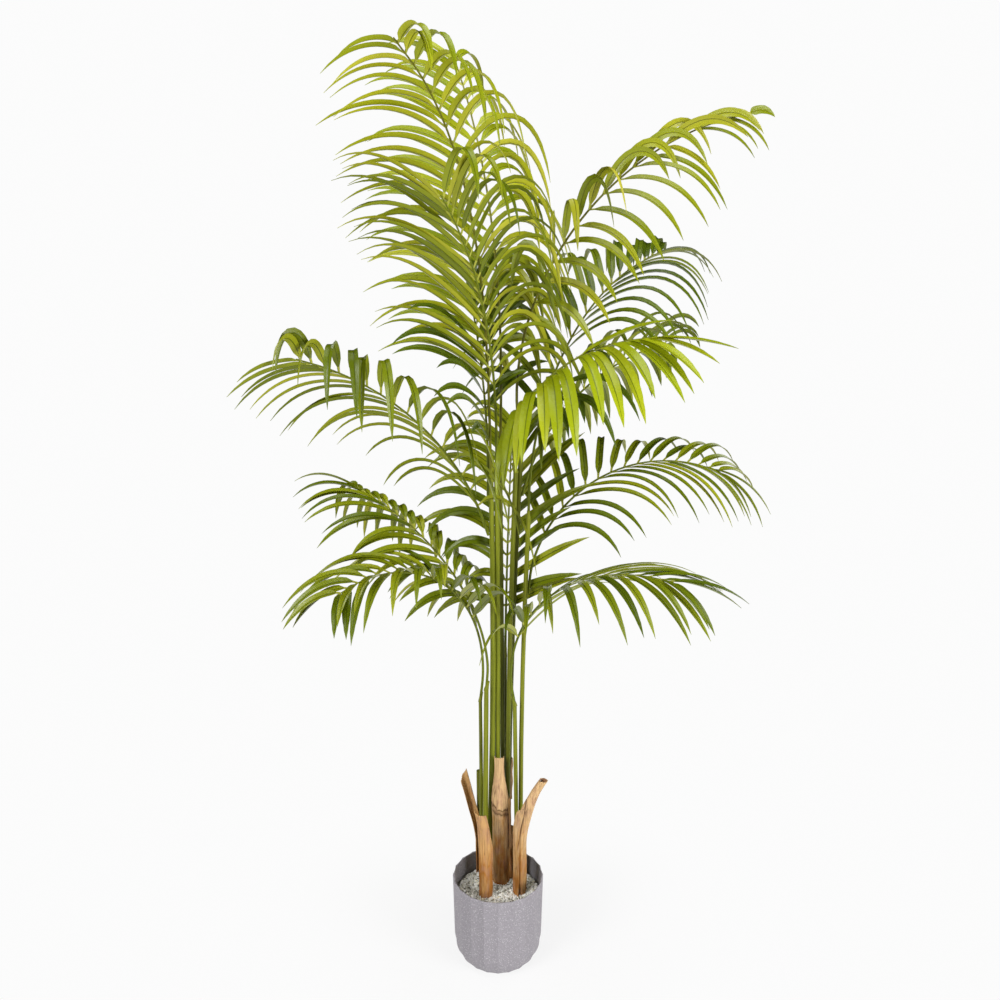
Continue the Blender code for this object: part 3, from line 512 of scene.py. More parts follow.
def bark_material(name, tones, scar=None, flap_shadowed=False):
    """Dried husk: darker at the foot, paler above, with soft patches, fibres and smudges; the flapped
    sheath also gets a painted shadow line.
    """
    material = new_material(name, tones[2], 0.8)
    links = material.node_tree.links
    place = add_node(material, "ShaderNodeTexCoord")
    parts = add_node(material, "ShaderNodeSeparateXYZ")
    links.new(place.outputs["Object"], parts.inputs["Vector"])
    height = add_node(material, "ShaderNodeMapRange")
    height.inputs["From Min"].default_value = BARK_TURN[0]
    height.inputs["From Max"].default_value = BARK_TURN[1]
    links.new(parts.outputs["Z"], height.inputs["Value"])
    patches = add_noise(material, coordinates(material, (60.0, 60.0, 20.0)), 1.0, 4.0, 0.6)
    spread = calculate(material, "MULTIPLY", patches, PATCH_CONTRAST)
    level = calculate(material, "ADD", height.outputs["Result"], spread)
    halved = calculate(material, "MULTIPLY", level, 0.5)
    ground = add_ramp(material, halved, (
        (0.50, tones[0]), (0.64, tones[1]), (0.80, tones[2])))
    fibre = add_noise(material, coordinates(material, (420.0, 420.0, 9.0)), 1.0, 4.0, 0.6)
    fibres = add_ramp(material, fibre, ((0.34, (0.45, 0.45, 0.45)), (0.52, (0.0, 0.0, 0.0))))
    faded = add_noise(material, coordinates(material, (70.0, 70.0, 24.0)), 1.0, 5.0, 0.65)
    greys = add_ramp(material, faded, ((0.48, (0.0, 0.0, 0.0)), (0.64, (0.65, 0.65, 0.65))))
    colour = blend(material, greys, ground, BARK_GREY)
    colour = blend(material, fibres, colour, BARK_DARK)
    smudge = add_noise(material, coordinates(material, (130.0, 130.0, 34.0)), 1.0, 5.0, 0.7)
    smudges = add_ramp(material, smudge, ((0.30, (0.60, 0.60, 0.60)), (0.39, (0.0, 0.0, 0.0))))
    colour = blend(material, smudges, colour, BARK_DARK)
    if scar:
        slant = calculate(material, "MULTIPLY", parts.outputs["X"], SCAR_SLANT)
        wave = add_noise(material, coordinates(material, (62.0, 62.0, 25.0)), 1.0, 3.0, 0.65)
        lift = calculate(material, "MULTIPLY", wave, SCAR_WAVE)
        along = calculate(
            material, "ADD", parts.outputs["Z"], calculate(material, "ADD", slant, lift))
        for drop, reach, strength in SCAR_LINES:
            place = calculate(material, "SUBTRACT", along, scar + SCAR_WAVE / 2.0 - drop)
            away = calculate(material, "ABSOLUTE", place)
            line = calculate(
                material, "ADD", calculate(material, "DIVIDE", away, reach), smudge)
            marks = add_ramp(material, line, (
                (0.60, (strength, strength, strength)), (1.0, (0.0, 0.0, 0.0))))
            colour = blend(material, marks, colour, BARK_DARK)
    # Painted shadow of the flap's lifted edge, a dark line on the bark beside it.
    if flap_shadowed:
        colour = blend(material, flap_shadow_marks(material, parts, smudge), colour, BARK_DARK)
    links.new(colour, shader_of(material).inputs["Base Color"])
    crinkle = add_noise(material, coordinates(material, (150.0, 150.0, 55.0)), 1.0, 4.0, 0.6)
    add_bump(material, calculate(material, "ADD", fibre, crinkle), 0.6, 0.0011)
    shader_of(material).inputs["Specular IOR Level"].default_value = 0.25
    return material


def pot_material():
    """Grey cement-like finish with sparse white speckles."""
    material = new_material("pot_grey", POT_TONE)
    vector = coordinates(material, (1.0, 1.0, 1.0))
    links = material.node_tree.links
    mottle = add_noise(material, vector, 260.0, 3.0, 0.7)
    ground = add_ramp(material, mottle, ((0.38, POT_MOTTLE), (0.62, POT_TONE)))
    cells = add_node(material, "ShaderNodeTexVoronoi")
    cells.inputs["Scale"].default_value = 315.0
    links.new(vector, cells.inputs["Vector"])
    dots = add_ramp(material, cells.outputs["Distance"], (
        (0.12, (1.0, 1.0, 1.0)), (0.23, (0.0, 0.0, 0.0))))
    mix = add_node(material, "ShaderNodeMix", data_type="RGBA")
    links.new(dots, mix.inputs["Factor"])
    links.new(ground, mix.inputs["A"])
    mix.inputs["B"].default_value = (*SPECKLE_TONE, 1.0)
    links.new(mix.outputs["Result"], shader_of(material).inputs["Base Color"])
    grit = add_noise(material, vector, 900.0, 3.0, 0.6)
    add_bump(material, grit, 0.3, 0.0004)
    vary_roughness(material, grit, 0.55, 0.8)
    return material


def stone_material(name, colour):
    material = new_material(name, colour)
    grit = add_noise(material, coordinates(material, (1.0, 1.0, 1.0)), 520.0, 4.0, 0.6)
    add_bump(material, grit, 0.5, 0.0006)
    vary_roughness(material, grit, 0.7, 0.95)
    return material


def add_piece(name, points, faces, materials, nodes=(), indices=None, uvs=None, sharp=40):
    """A mesh piece that rides on the plant and stands for the named nodes."""
    mesh = bpy.data.meshes.new(name)
    mesh.from_pydata(points, [], faces)
    for material in materials:
        mesh.materials.append(material)
    if indices is not None:
        mesh.polygons.foreach_set("material_index", indices)
    if uvs is not None:
        layer = mesh.uv_layers.new(name="UVMap")
        flat = []
        for loop in mesh.loops:
            flat.extend(uvs[loop.vertex_index])
        layer.data.foreach_set("uv", flat)
    mesh.shade_smooth()
    mesh.set_sharp_from_angle(angle=radians(sharp))
    item = bpy.data.objects.new(name, mesh)
    bpy.context.scene.collection.objects.link(item)
    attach(item, "root")
    if nodes:
        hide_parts(*nodes)
    return item


def grid_faces(rows, columns, closed, base=0):
    """Quads over a grid of points stored row by row."""
    faces = []
    wide = columns if closed else columns - 1
    for row in range(rows - 1):
        for column in range(wide):
            after = (column + 1) % columns
            faces.append((
                base + row * columns + column, base + row * columns + after,
                base + (row + 1) * columns + after, base + (row + 1) * columns + column))
    return faces


def ellipse_corner(foot_radius, waist_radius, low, high, steps):
    points = []
    for step in range(steps + 1):
        angle = 0.5 * pi * step / steps
        points.append((
            foot_radius + (waist_radius - foot_radius) * sin(angle),
            high - (high - low) * cos(angle)))
    return points


def flute_depth(angle, radius):
    """How far the wall is hollowed between two ridges."""
    across = (FLUTES * angle / (2.0 * pi)) % 1.0
    hollow = 1.0 - (2.0 * across - 1.0) ** 2
    foot = min(1.0, max(0.0, (radius - POT_FOOT_RADIUS) / (POT_WAIST_RADIUS - POT_FOOT_RADIUS)))
    return FLUTE_DEPTH * hollow * foot ** 0.7


def build_pot():
    outer = ellipse_corner(POT_FOOT_RADIUS, POT_WAIST_RADIUS, 0.0, POT_CORNER_HEIGHT, 14)
    profile = [(0.0005, 0.0), (0.5 * POT_FOOT_RADIUS, 0.0)] + outer
    wall_steps = 12
    wall_top = POT_HEIGHT - RIM_ROUND
    for step in range(1, wall_steps + 1):
        share = step / wall_steps
        profile.append((
            POT_WAIST_RADIUS + (POT_RADIUS - POT_WAIST_RADIUS) * share,
            POT_CORNER_HEIGHT + (wall_top - POT_CORNER_HEIGHT) * share))
    for step in range(1, 4):
        angle = 0.5 * pi * step / 3
        profile.append((
            POT_RADIUS - RIM_ROUND * (1.0 - cos(angle)), wall_top + RIM_ROUND * sin(angle)))
    outer_count = len(profile)
    inside = POT_RADIUS - POT_WALL
    profile += [(inside + RIM_ROUND, POT_HEIGHT), (inside, wall_top)]
    inner = ellipse_corner(
        POT_FOOT_RADIUS - POT_WALL, POT_WAIST_RADIUS - POT_WALL, POT_FLOOR, POT_CORNER_HEIGHT, 6)
    profile += inner[::-1] + [(0.0005, POT_FLOOR)]
    points = []
    for number, (radius, height) in enumerate(profile):
        for step in range(POT_STEPS):
            angle = 2.0 * pi * step / POT_STEPS
            pressed = radius
            if number < outer_count:
                pressed -= flute_depth(angle, radius)
            points.append((pressed * cos(angle), pressed * sin(angle), height))
    faces = grid_faces(len(profile), POT_STEPS, True)
    faces.append(tuple(range(POT_STEPS))[::-1])
    last = (len(profile) - 1) * POT_STEPS
    faces.append(tuple(last + step for step in range(POT_STEPS)))
    add_piece("pot_shell", points, faces, [pot_material()], ["pot"], sharp=30)


def bed_height(x, y):
    """The gravel's top surface, a low uneven mound."""
    away = min(1.0, (x * x + y * y) ** 0.5 / BED_RADIUS)
    bumps = noise.noise(Vector((x * 45.0, y * 45.0, 0.0)))
    return FILL_LEVEL - 0.0015 + BED_RISE * (1.0 - away * away) + 0.0015 * bumps


def build_gravel():
    rings, spokes = 14, 48
    points = []
    for ring in range(rings + 1):
        radius = BED_RADIUS * ring / rings + 0.0003
        for spoke in range(spokes):
            angle = 2.0 * pi * spoke / spokes
            x, y = radius * cos(angle), radius * sin(angle)
            points.append((x, y, bed_height(x, y)))
    base = len(points)
    for spoke in range(spokes):
        angle = 2.0 * pi * spoke / spokes
        points.append((BED_RADIUS * cos(angle), BED_RADIUS * sin(angle), FILL_LEVEL - 0.02))
    faces = grid_faces(rings + 2, spokes, True)
    faces.append(tuple(base + spoke for spoke in range(spokes))[::-1])
    # The bed shows between the chips and is toned dark as painted shade.
    add_piece("gravel_bed", points, faces, [stone_material("bed", BED_SHADE_TONE)], ["filling"])

    chance = random.Random(4)
    shape = chip_shape()
    points, faces, indices = [], [], []
    for _ in range(CHIP_COUNT):
        radius = (BED_RADIUS - 0.003) * chance.random() ** 0.5
        angle = chance.uniform(0.0, 2.0 * pi)
        x, y = radius * cos(angle), radius * sin(angle)
        size = chance.uniform(*CHIP_SIZE)
        sink = chance.uniform(-0.3, 0.8)
        turn = Matrix.Rotation(chance.uniform(0, 2 * pi), 3, "Z")
        turn = turn @ Matrix.Rotation(chance.uniform(-1.2, 1.2), 3, "X")
        squeeze = Vector((size, size * chance.uniform(0.6, 0.9), size * chance.uniform(0.45, 0.7)))
        centre = Vector((x, y, bed_height(x, y) + sink * size))
        seed = Vector((chance.uniform(0, 50), chance.uniform(0, 50), 0.0))
        start = len(points)
        for corner in shape[0]:
            rough = 1.0 + 0.45 * noise.noise(corner * 1.7 + seed)
            local = Vector(
                (corner.x * squeeze.x, corner.y * squeeze.y, corner.z * squeeze.z)) * rough
            points.append(tuple(centre + turn @ local))
        faces += [tuple(start + corner for corner in face) for face in shape[1]]
        indices += [chance.choices(range(len(CHIP_TONES)), CHIP_SHARES)[0]] * len(shape[1])
    stones = [stone_material(f"chip_{number}", tone) for number, tone in enumerate(CHIP_TONES)]
    add_piece("gravel_chips", points, faces, stones, indices=indices, sharp=28)


def chip_shape():
    """A small faceted ball: points and faces of an icosahedron."""
    ball = bmesh.new()
    bmesh.ops.create_icosphere(ball, subdivisions=1, radius=1.0)
    points = [vertex.co.copy() for vertex in ball.verts]
    faces = [tuple(vertex.index for vertex in face.verts) for face in ball.faces]
    ball.free()
    return points, faces


def sheath_section(sheath, up):
    """Centre, radius and wrapped angle of a sheath at a share of its height, as in the solids."""
    bend_start, bend_power = sheath["bend"]
    past = max(0.0, up - bend_start) / (1.0 - bend_start)
    centre = Vector(sheath["foot"]).lerp(Vector(sheath["top"]), past ** bend_power)
    start, end = sheath["narrow"]
    step = min(1.0, max(0.0, (up - start) / (end - start)))
    low, high = sheath["radius"]
    radius = low + (high - low) * step * step * (3.0 - 2.0 * step)
    radius -= sheath["waist"] * max(0.0, 1.0 - up / SHEATH_WAIST_HEIGHT)
    arc = sheath["arc"][0] + (sheath["arc"][1] - sheath["arc"][0]) * up
    return centre, radius, arc


def sheath_reach(sheath, across):
    """How high a sheath reaches there: its top edge may slant down to one side."""
    return 1.0 - abs(sheath["cut"]) * (across if sheath["cut"] > 0.0 else 1.0 - across)


def sheath_creases(name):
    """Angles and heights of the sharp lengthwise creases of a sheath."""
    chance = random.Random(name + " creases")
    return [(chance.uniform(0.0, 2.0 * pi), chance.uniform(0.1, 0.9)) for _ in range(CREASES)]


def folded(radius, angle, up, seed, creases):
    """The radius with soft folds, small waves and sharp creases."""
    turned = Vector((1.3 * cos(angle), 1.3 * sin(angle), 3.6 * up)) + seed
    radius += FOLD_DEPTH * noise.noise(turned)
    radius += 0.35 * FOLD_DEPTH * noise.noise(Vector((turned.x * 3.0, turned.y * 3.0, turned.z)))
    for place, middle in creases:
        aside = (angle - place - CREASE_LEAN * (up - middle) + pi) % (2.0 * pi) - pi
        reach = max(0.0, 1.0 - 2.2 * abs(up - middle))
        radius -= CREASE_DEPTH * reach * max(0.0, 1.0 - abs(aside) / CREASE_WIDTH)
    return radius


def sheath_mesh(name, sheath, low, high, out):
    """Points of a husk or of a layer over it, from one share of the height to another."""
    seed = Vector((sum(ord(letter) for letter in name) * 0.37, 0.0, 0.0))
    creases = sheath_creases(name)
    points = []
    for row in range(SHEATH_ROWS):
        for column in range(SHEATH_COLUMNS):
            across = column / (SHEATH_COLUMNS - 1)
            torn = RAGS[name] * abs(noise.noise(Vector((across * 9.0, 3.0, 0.0)) + seed))
            reach = high * sheath_reach(sheath, across) * (1.0 - torn)
            up = low + (reach - low) * row / (SHEATH_ROWS - 1)
            centre, radius, arc = sheath_section(sheath, up)
            angle = radians(sheath["facing"] + arc * (across - 0.5))
            radius = folded(radius, angle, up, seed, creases) + out * (1.0 + FLAP_CURL * lifted(across))
            if name == CHANNEL_OF:
                radius += CHANNEL_DEPTH * (1.0 - min(1.0, abs(2.0 * across - 1.0) / CHANNEL_WIDTH))
            bottom = sheath["base"] + GAP if sheath["base"] else -0.004
            height = FILL_LEVEL + bottom + (sheath["height"] - bottom) * up
            points.append((
                centre.x + radius * cos(angle), centre.y + radius * sin(angle), height))
    return points


def lifted(across):
    """How far a flap curls away towards its free edge, from 0 to 1."""
    return (max(0.0, across - FLAP_CURL_START) / (1.0 - FLAP_CURL_START)) ** 2


def build_sheath(name, sheath, materials):
    """A dried husk: a rolled sheet with folds and a torn top."""
    bark = materials["golden" if name in GOLDEN else "russet"]
    if name == "sheath_centre":
        bark = materials["scarred"]
    elif name == FLAP_OF:
        # The flapped sheath's bark has the painted flap shadow.
        bark = materials["flap_shadowed"]
    faces = grid_faces(SHEATH_ROWS, SHEATH_COLUMNS, False)
    points = sheath_mesh(name, sheath, 0.0, 1.0, 0.0)
    thicken(add_piece(name + "_bark", points, faces, bark, [name], sharp=60))
    if name == FLAP_OF:
        layer = sheath | {key: FLAP[key] for key in ("facing", "arc", "cut", "narrow", "bend")}
        points = sheath_mesh(name, layer, 0.0, FLAP["high"], FLAP["out"])
        thicken(add_piece(name + "_flap", points, faces, bark, sharp=60))


def thicken(item):
    shell = item.modifiers.new("thickness", "SOLIDIFY")
    shell.thickness = SHEATH_THICKNESS
    shell.offset = -1.0
    # Inner skins take the second material, the darker inside bark painted as shade; the channel sheath
    # keeps its outer bark on both sides.
    shell.material_offset = 0 if item.name.startswith(CHANNEL_OF) else 1


def stem_path(stem):
    """Points up a stem's axis, as in the solids."""
    foot = Vector((*stem["foot"], FILL_LEVEL + GAP))
    top = Vector(stem["top"])
    points = []
    for part in range(STEM_PARTS + 1):
        share = part / STEM_PARTS
        point = foot.lerp(top, share)
        point.x += stem["bow"] * 4.0 * share * (1.0 - share)
        points.append(point)
    return points


def stem_axis_at(stem, height):
    path = stem_path(stem)
    share = (height - path[0].z) / (path[-1].z - path[0].z)
    place = share * STEM_PARTS
    part = min(int(place), STEM_PARTS - 1)
    point = path[part].lerp(path[part + 1], place - part)
    radius = stem["radius"][0] + (stem["radius"][1] - stem["radius"][0]) * share
    return point, radius


def tube(path, radii, sides, relief=None):
    """Points and faces of a capped tube whose sections stay upright to its path."""
    points = []
    across = None
    for number, place in enumerate(path):
        before = path[max(number - 1, 0)]
        after = path[min(number + 1, len(path) - 1)]
        along = (after - before).normalized()
        if across is None:
            across = along.orthogonal().normalized()
        across = (across - along * across.dot(along)).normalized()
        other = along.cross(across)
        for side in range(sides):
            angle = 2.0 * pi * side / sides
            radius = radii[number]
            if relief:
                radius *= relief(number / (len(path) - 1), angle)
            points.append(place + across * radius * cos(angle) + other * radius * sin(angle))
    faces = grid_faces(len(path), sides, True)
    faces.append(tuple(range(sides))[::-1])
    last = (len(path) - 1) * sides
    faces.append(tuple(last + side for side in range(sides)))
    return points, faces


def build_stem(name, stem, materials):
    low, high = stem["radius"]
    path, radii = [], []
    bottom = FILL_LEVEL - 0.004
    top = stem["top"][2]
    for part in range(STEM_FINE_PARTS + 1):
        height = bottom + (top - bottom) * part / STEM_FINE_PARTS
        axis, radius = stem_axis_at(stem, max(height, FILL_LEVEL + GAP))
        axis.z = height
        path.append(axis)
        radii.append(radius)
    seed = sum(ord(letter) for letter in name)

    def relief(share, angle):
        ridge = 0.018 * cos(5.0 * angle + seed)
        swell = 0.02 * noise.noise(Vector((share * 9.0, seed * 0.31, 0.0)))
        return 1.0 + ridge + swell

    points, faces = tube(path, radii, STEM_SIDES, relief)
    kind = STEM_KINDS.get(name, "shaded")
    add_piece(name + "_tube", points, faces, [materials[kind]], [name])


def build_joint(name, axis, radius, along, materials):
    """A short cone where a frond is plugged into its stem."""
    path = [axis + along * step for step in (-0.004, 0.0005, 0.006, 0.012, 0.017)]
    thin = RIB_FOOT_RADIUS + 0.0003
    radii = [radius + 0.0003, radius + 0.0003, 0.5 * (radius + thin), thin, thin - 0.0001]
    points, faces = tube(path, radii, STEM_SIDES)
    add_piece(name + "_joint", points, faces, [materials["stems"]["plain"]])


def heading_at(frond, along):
    """The midrib's direction at a share of its length."""
    slope = radians(frond["rise"] + (frond["fall"] - frond["rise"]) * along ** frond["bend"])
    turn = radians(frond["azimuth"] + frond["swing"] * along)
    return Vector((cos(slope) * cos(turn), cos(slope) * sin(turn), sin(slope)))


def frond_foot(frond):
    """Where a midrib starts, as in the solids."""
    stem = STEMS[frond["stem"]]
    start = heading_at(frond, 0.5 / CAD_RIB_PARTS)
    if "height" not in frond:
        path = stem_path(stem)
        along = (path[-1] - path[-2]).normalized()
        tilt = along.angle(start)
        lift = GAP + RIB_FOOT_RADIUS * sin(tilt)
        return path[-1] + along * lift
    axis, radius = stem_axis_at(stem, frond["height"])
    turn = radians(frond["azimuth"])
    away = radius + RIB_FOOT_RADIUS + GAP
    return axis + Vector((cos(turn), sin(turn), 0.0)) * away


def rib_path(frond):
    """Points along a frond's midrib: the solids' broken line, rounded into fine steps."""
    step = frond["length"] / CAD_RIB_PARTS
    coarse = [frond_foot(frond)]
    for part in range(CAD_RIB_PARTS):
        coarse.append(coarse[-1] + heading_at(frond, (part + 0.5) / CAD_RIB_PARTS) * step)
    fine = []
    for part in range(RIB_PARTS + 1):
        place = part / RIB_PARTS * CAD_RIB_PARTS
        first = min(int(place), CAD_RIB_PARTS - 1)
        fine.append(curve_point(coarse, first, place - first))
    return fine


def curve_point(points, first, share):
    """A smooth curve through the points, between one and the next."""
    before = points[first - 1] if first else points[0] * 2.0 - points[1]
    start, end = points[first], points[first + 1]
    after = points[first + 2] if first + 2 < len(points) else end * 2.0 - start
    square, cube = share * share, share ** 3
    return 0.5 * (
        start * 2.0 + (end - before) * share
        + (before * 2.0 - start * 5.0 + end * 4.0 - after) * square
        + (start * 3.0 - before - end * 3.0 + after) * cube)


def rib_radius(along):
    return RIB_FOOT_RADIUS + (RIB_TIP_RADIUS - RIB_FOOT_RADIUS) * along


def point_along(path, along):
    place = along * (len(path) - 1)
    part = min(int(place), len(path) - 2)
    return path[part].lerp(path[part + 1], place - part)


def leaflet_seats(name, frond, path):
    """Where each leaflet leaves the midrib, as in the solids."""
    chance = random.Random(name)
    seats = []
    for pair in range(frond["pairs"]):
        share = pair / (frond["pairs"] - 1)
        along = frond["bare"] + (RIB_LAST_PAIR - frond["bare"]) * (
            1.0 - (1.0 - share) ** PAIR_CROWDING)
        rib = heading_at(frond, along)
        turn = radians(frond["azimuth"] + frond["swing"] * along)
        tilt = Matrix.Rotation(radians(frond["roll"] + frond["twist"] * along), 3, rib)
        side = tilt @ Vector((-sin(turn), cos(turn), 0.0))
        upper = rib.cross(side)
        for side_number, hand in enumerate((1, -1)):
            phase = pi * (FIRST_PHASE + (1.0 - FIRST_PHASE) * share)
            full = END_LENGTH + (1.0 - END_LENGTH) * sin(phase)
            length = frond["leaflet"] * full * (1.0 - frond["taper"] * share ** 3)
            near, far = frond["spread"]
            stiff = 1.0 - frond["stiff"] * share * share
            seats.append(dict(
                root=point_along(path, along),
                radius=rib_radius(along),
                rib=rib,
                side=side * hand,
                upper=upper,
                hand=hand,
                arch=frond["arch"][side_number],
                level=frond["level"],
                width=frond["width"],
                spread=(near + (far - near) * share) * frond["gather"][side_number] + (
                    chance.uniform(-1, 1) * ANGLE_VARIATION),
                lift=frond["lift"][side_number] + chance.uniform(-1, 1) * ANGLE_VARIATION,
                droop=frond["droop"][side_number] * stiff * (
                    1.0 + chance.uniform(-1, 1) * DROOP_VARIATION),
                length=length * (1.0 + chance.uniform(-1, 1) * LENGTH_VARIATION)))
    return seats


def leaflet_path(seat, nudge):
    """The leaflet's midline as places, width directions and upper sides, root first."""
    lift_more, droop_scale, length_scale = nudge
    spread = radians(seat["spread"])
    lift = radians(seat["lift"] + lift_more)
    out = seat["side"] * cos(lift) + seat["upper"] * sin(lift)
    start = seat["rib"] * cos(spread) + out * sin(spread)
    level = UP.cross(start).normalized() * -seat["hand"]
    across = (seat["rib"] - start * seat["rib"].dot(start)).normalized().lerp(level, seat["level"])
    step = seat["length"] * length_scale / LEAFLET_STEPS
    place = seat["root"] + start * LEAFLET_ROOT_START * seat["radius"]
    stations = []
    for number in range(LEAFLET_STEPS + 1):
        share = number / LEAFLET_STEPS
        along = leaflet_heading(seat, start, share, droop_scale)
        across = (across - along * across.dot(along)).normalized()
        stations.append((place, across, along.cross(across) * -seat["hand"]))
        middle = (number + 0.5) / LEAFLET_STEPS
        place = place + leaflet_heading(seat, start, middle, droop_scale) * step
    return stations


def leaflet_heading(seat, start, share, droop_scale):
    """The leaflet's direction: it bends down under its own weight."""
    fall = seat["droop"] * droop_scale * share ** seat["arch"]
    return (start - UP * fall).normalized()


def blade_width(share):
    """The blade's width at a share of its length, as a share of its full width."""
    for number in range(len(BLADE_SHARES) - 1):
        low, high = BLADE_SHARES[number], BLADE_SHARES[number + 1]
        if share <= high:
            part = (share - low) / (high - low)
            part = part * part * (3.0 - 2.0 * part)
            return BLADE_WIDTHS[number] + (BLADE_WIDTHS[number + 1] - BLADE_WIDTHS[number]) * part
    return BLADE_WIDTHS[-1]


def leaflet_space(seat, stations):
    """Points and faces of the room a leaflet takes up, a little more than its blade."""
    points, faces = [], []
    for number, (place, across, upper) in enumerate(stations):
        half = 0.5 * seat["width"] * blade_width(number / LEAFLET_STEPS) + CLEARANCE
        points.append(place + across * half + upper * (0.5 * LEAFLET_FOLD + CLEARANCE))
        points.append(place - across * half + upper * (0.5 * LEAFLET_FOLD + CLEARANCE))
        points.append(place - upper * CLEARANCE)
    for ring in range(len(stations) - 1):
        base = 3 * ring
        for corner in range(3):
            after = (corner + 1) % 3
            faces.append((base + corner, base + after, base + 3 + after, base + 3 + corner))
    return points, faces


def tree_of(shapes):
    all_points, all_faces = [], []
    for points, faces in shapes:
        base = len(all_points)
        all_points += points
        all_faces += [tuple(base + corner for corner in face) for face in faces]
    return BVHTree.FromPolygons(all_points, all_faces)


def fitted_leaflets(seats, own_rib, fixed, taken):
    """The leaflets that keep clear of everything else, each nudged as far as needed."""
    around = tree_of(fixed + taken)
    kept, spaces = [], []
    outer = [own_rib]
    for seat in seats:
        own = tree_of(outer)
        for nudge in NUDGES:
            stations = leaflet_path(seat, nudge)
            points, faces = leaflet_space(seat, stations)
            if tree_of([(points, faces)]).overlap(around):
                continue
            beyond = faces[9:]
            if tree_of([(points, beyond)]).overlap(own):
                continue
            kept.append((seat, stations))
            outer.append((points, beyond))
            spaces.append((points, faces))
            break
    return kept, spaces


def blade_mesh(kept, name):
    """Folded blades with an upper and a lower skin, and the tone of each face."""
    chance = random.Random(name + " tones")
    points, faces, indices, uvs = [], [], [], []
    wide = len(BLADE_COLUMNS)
    rows = LEAFLET_STEPS + 1
    for seat, stations in kept:
        tone = chance.choices(range(TONES), TONE_SHARES)[0]
        curl = chance.uniform(0.75, 1.25)
        start = len(points)
        for skin in (1.0, -1.0):
            for number, (place, across, upper) in enumerate(stations):
                share = number / LEAFLET_STEPS
                half = 0.5 * seat["width"] * blade_width(share)
                sink = min(1.0, share / 0.12)
                thick = STALK_THICKNESS + (BLADE_THICKNESS - STALK_THICKNESS) * sink
                for column in BLADE_COLUMNS:
                    raised = BLADE_RAISE * curl * half * max(0.0, abs(column) - 0.09)
                    rim = 1.0 - abs(column) ** 4
                    point = place + across * half * column + upper * (
                        raised + skin * 0.5 * thick * (0.15 + 0.85 * rim))
                    points.append(point)
                    uvs.append((0.5 + 0.5 * column, share * 2.0 + seat["spread"]))
        size = rows * wide
        upper_faces = grid_faces(rows, wide, False, start)
        lower_faces = [face[::-1] for face in grid_faces(rows, wide, False, start + size)]
        edge = []
        for row in range(rows - 1):
            for column, flip in ((0, False), (wide - 1, True)):
                a = start + row * wide + column
                b = a + wide
                face = (a, b, b + size, a + size)
                edge.append(face[::-1] if flip else face)
        tip = start + (rows - 1) * wide
        for column in range(wide - 1):
            edge.append((tip + column, tip + column + 1, tip + size + column + 1,
                         tip + size + column)[::-1])
            edge.append((start + column, start + column + 1, start + size + column + 1,
                         start + size + column))
        faces += upper_faces + lower_faces + edge
        for skin, faces_there in ((tone, upper_faces), (TONES + tone, lower_faces)):
            for number in range(len(faces_there)):
                row, column = divmod(number, wide - 1)
                vein = 2 * TONES + 1 if column == BLADE_VEIN else skin
                indices.append(2 * TONES if row < STALK_ROWS else vein)
        indices += [tone] * len(edge)
    return points, faces, indices, uvs


def build_fronds(materials):
    fronds = {name: FROND_DEFAULTS | frond for name, frond in FRONDS.items()}
    paths = {name: rib_path(frond) for name, frond in fronds.items()}
    radii = [rib_radius(part / RIB_PARTS) for part in range(RIB_PARTS + 1)]

    def groove(share, angle):
        return 1.0 - 0.10 * max(0.0, cos(angle)) ** 4 + 0.03 * cos(3.0 * angle)

    ribs = {name: tube(path, radii, RIB_SIDES, groove) for name, path in paths.items()}
    carriers = []
    for name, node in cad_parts.items():
        if not name.startswith("frond"):
            corners = [node.matrix_world @ vertex.co for vertex in node.data.vertices]
            carriers.append((corners, [tuple(face.vertices) for face in node.data.polygons]))
    taken = []
    for name, frond in fronds.items():
        kind = FROND_KINDS.get(name, "green")
        fixed = carriers + [shape for other, shape in ribs.items() if other != name]
        seats = leaflet_seats(name, frond, paths[name])
        kept, spaces = fitted_leaflets(seats, ribs[name], fixed, taken)
        taken += spaces
        print(name, "leaflets", len(kept), "of", len(seats))
        points, faces = ribs[name]
        add_piece(name + "_rib", points, faces, [materials[kind + "_rib"]], [name])
        points, faces, indices, uvs = blade_mesh(kept, name)
        add_piece(
            name + "_blades", points, faces, materials[kind], [name], indices, uvs, 50)
        stem = STEMS[frond["stem"]]
        if "height" not in frond:
            top = Vector(stem["top"])
            build_joint(name, top, stem["radius"][1], heading_at(frond, 0.0), materials)


def kind_tones(table, kind):
    """A kind's tones from a table, or those of the kind it is shifted from."""
    if kind in table:
        return table[kind]
    source, shift = KIND_SHIFTS[kind]
    tones = table[source]
    if isinstance(tones[0], float):
        return tuple(value * part for value, part in zip(tones, shift))
    return [tuple(value * part for value, part in zip(tone, shift)) for tone in tones]


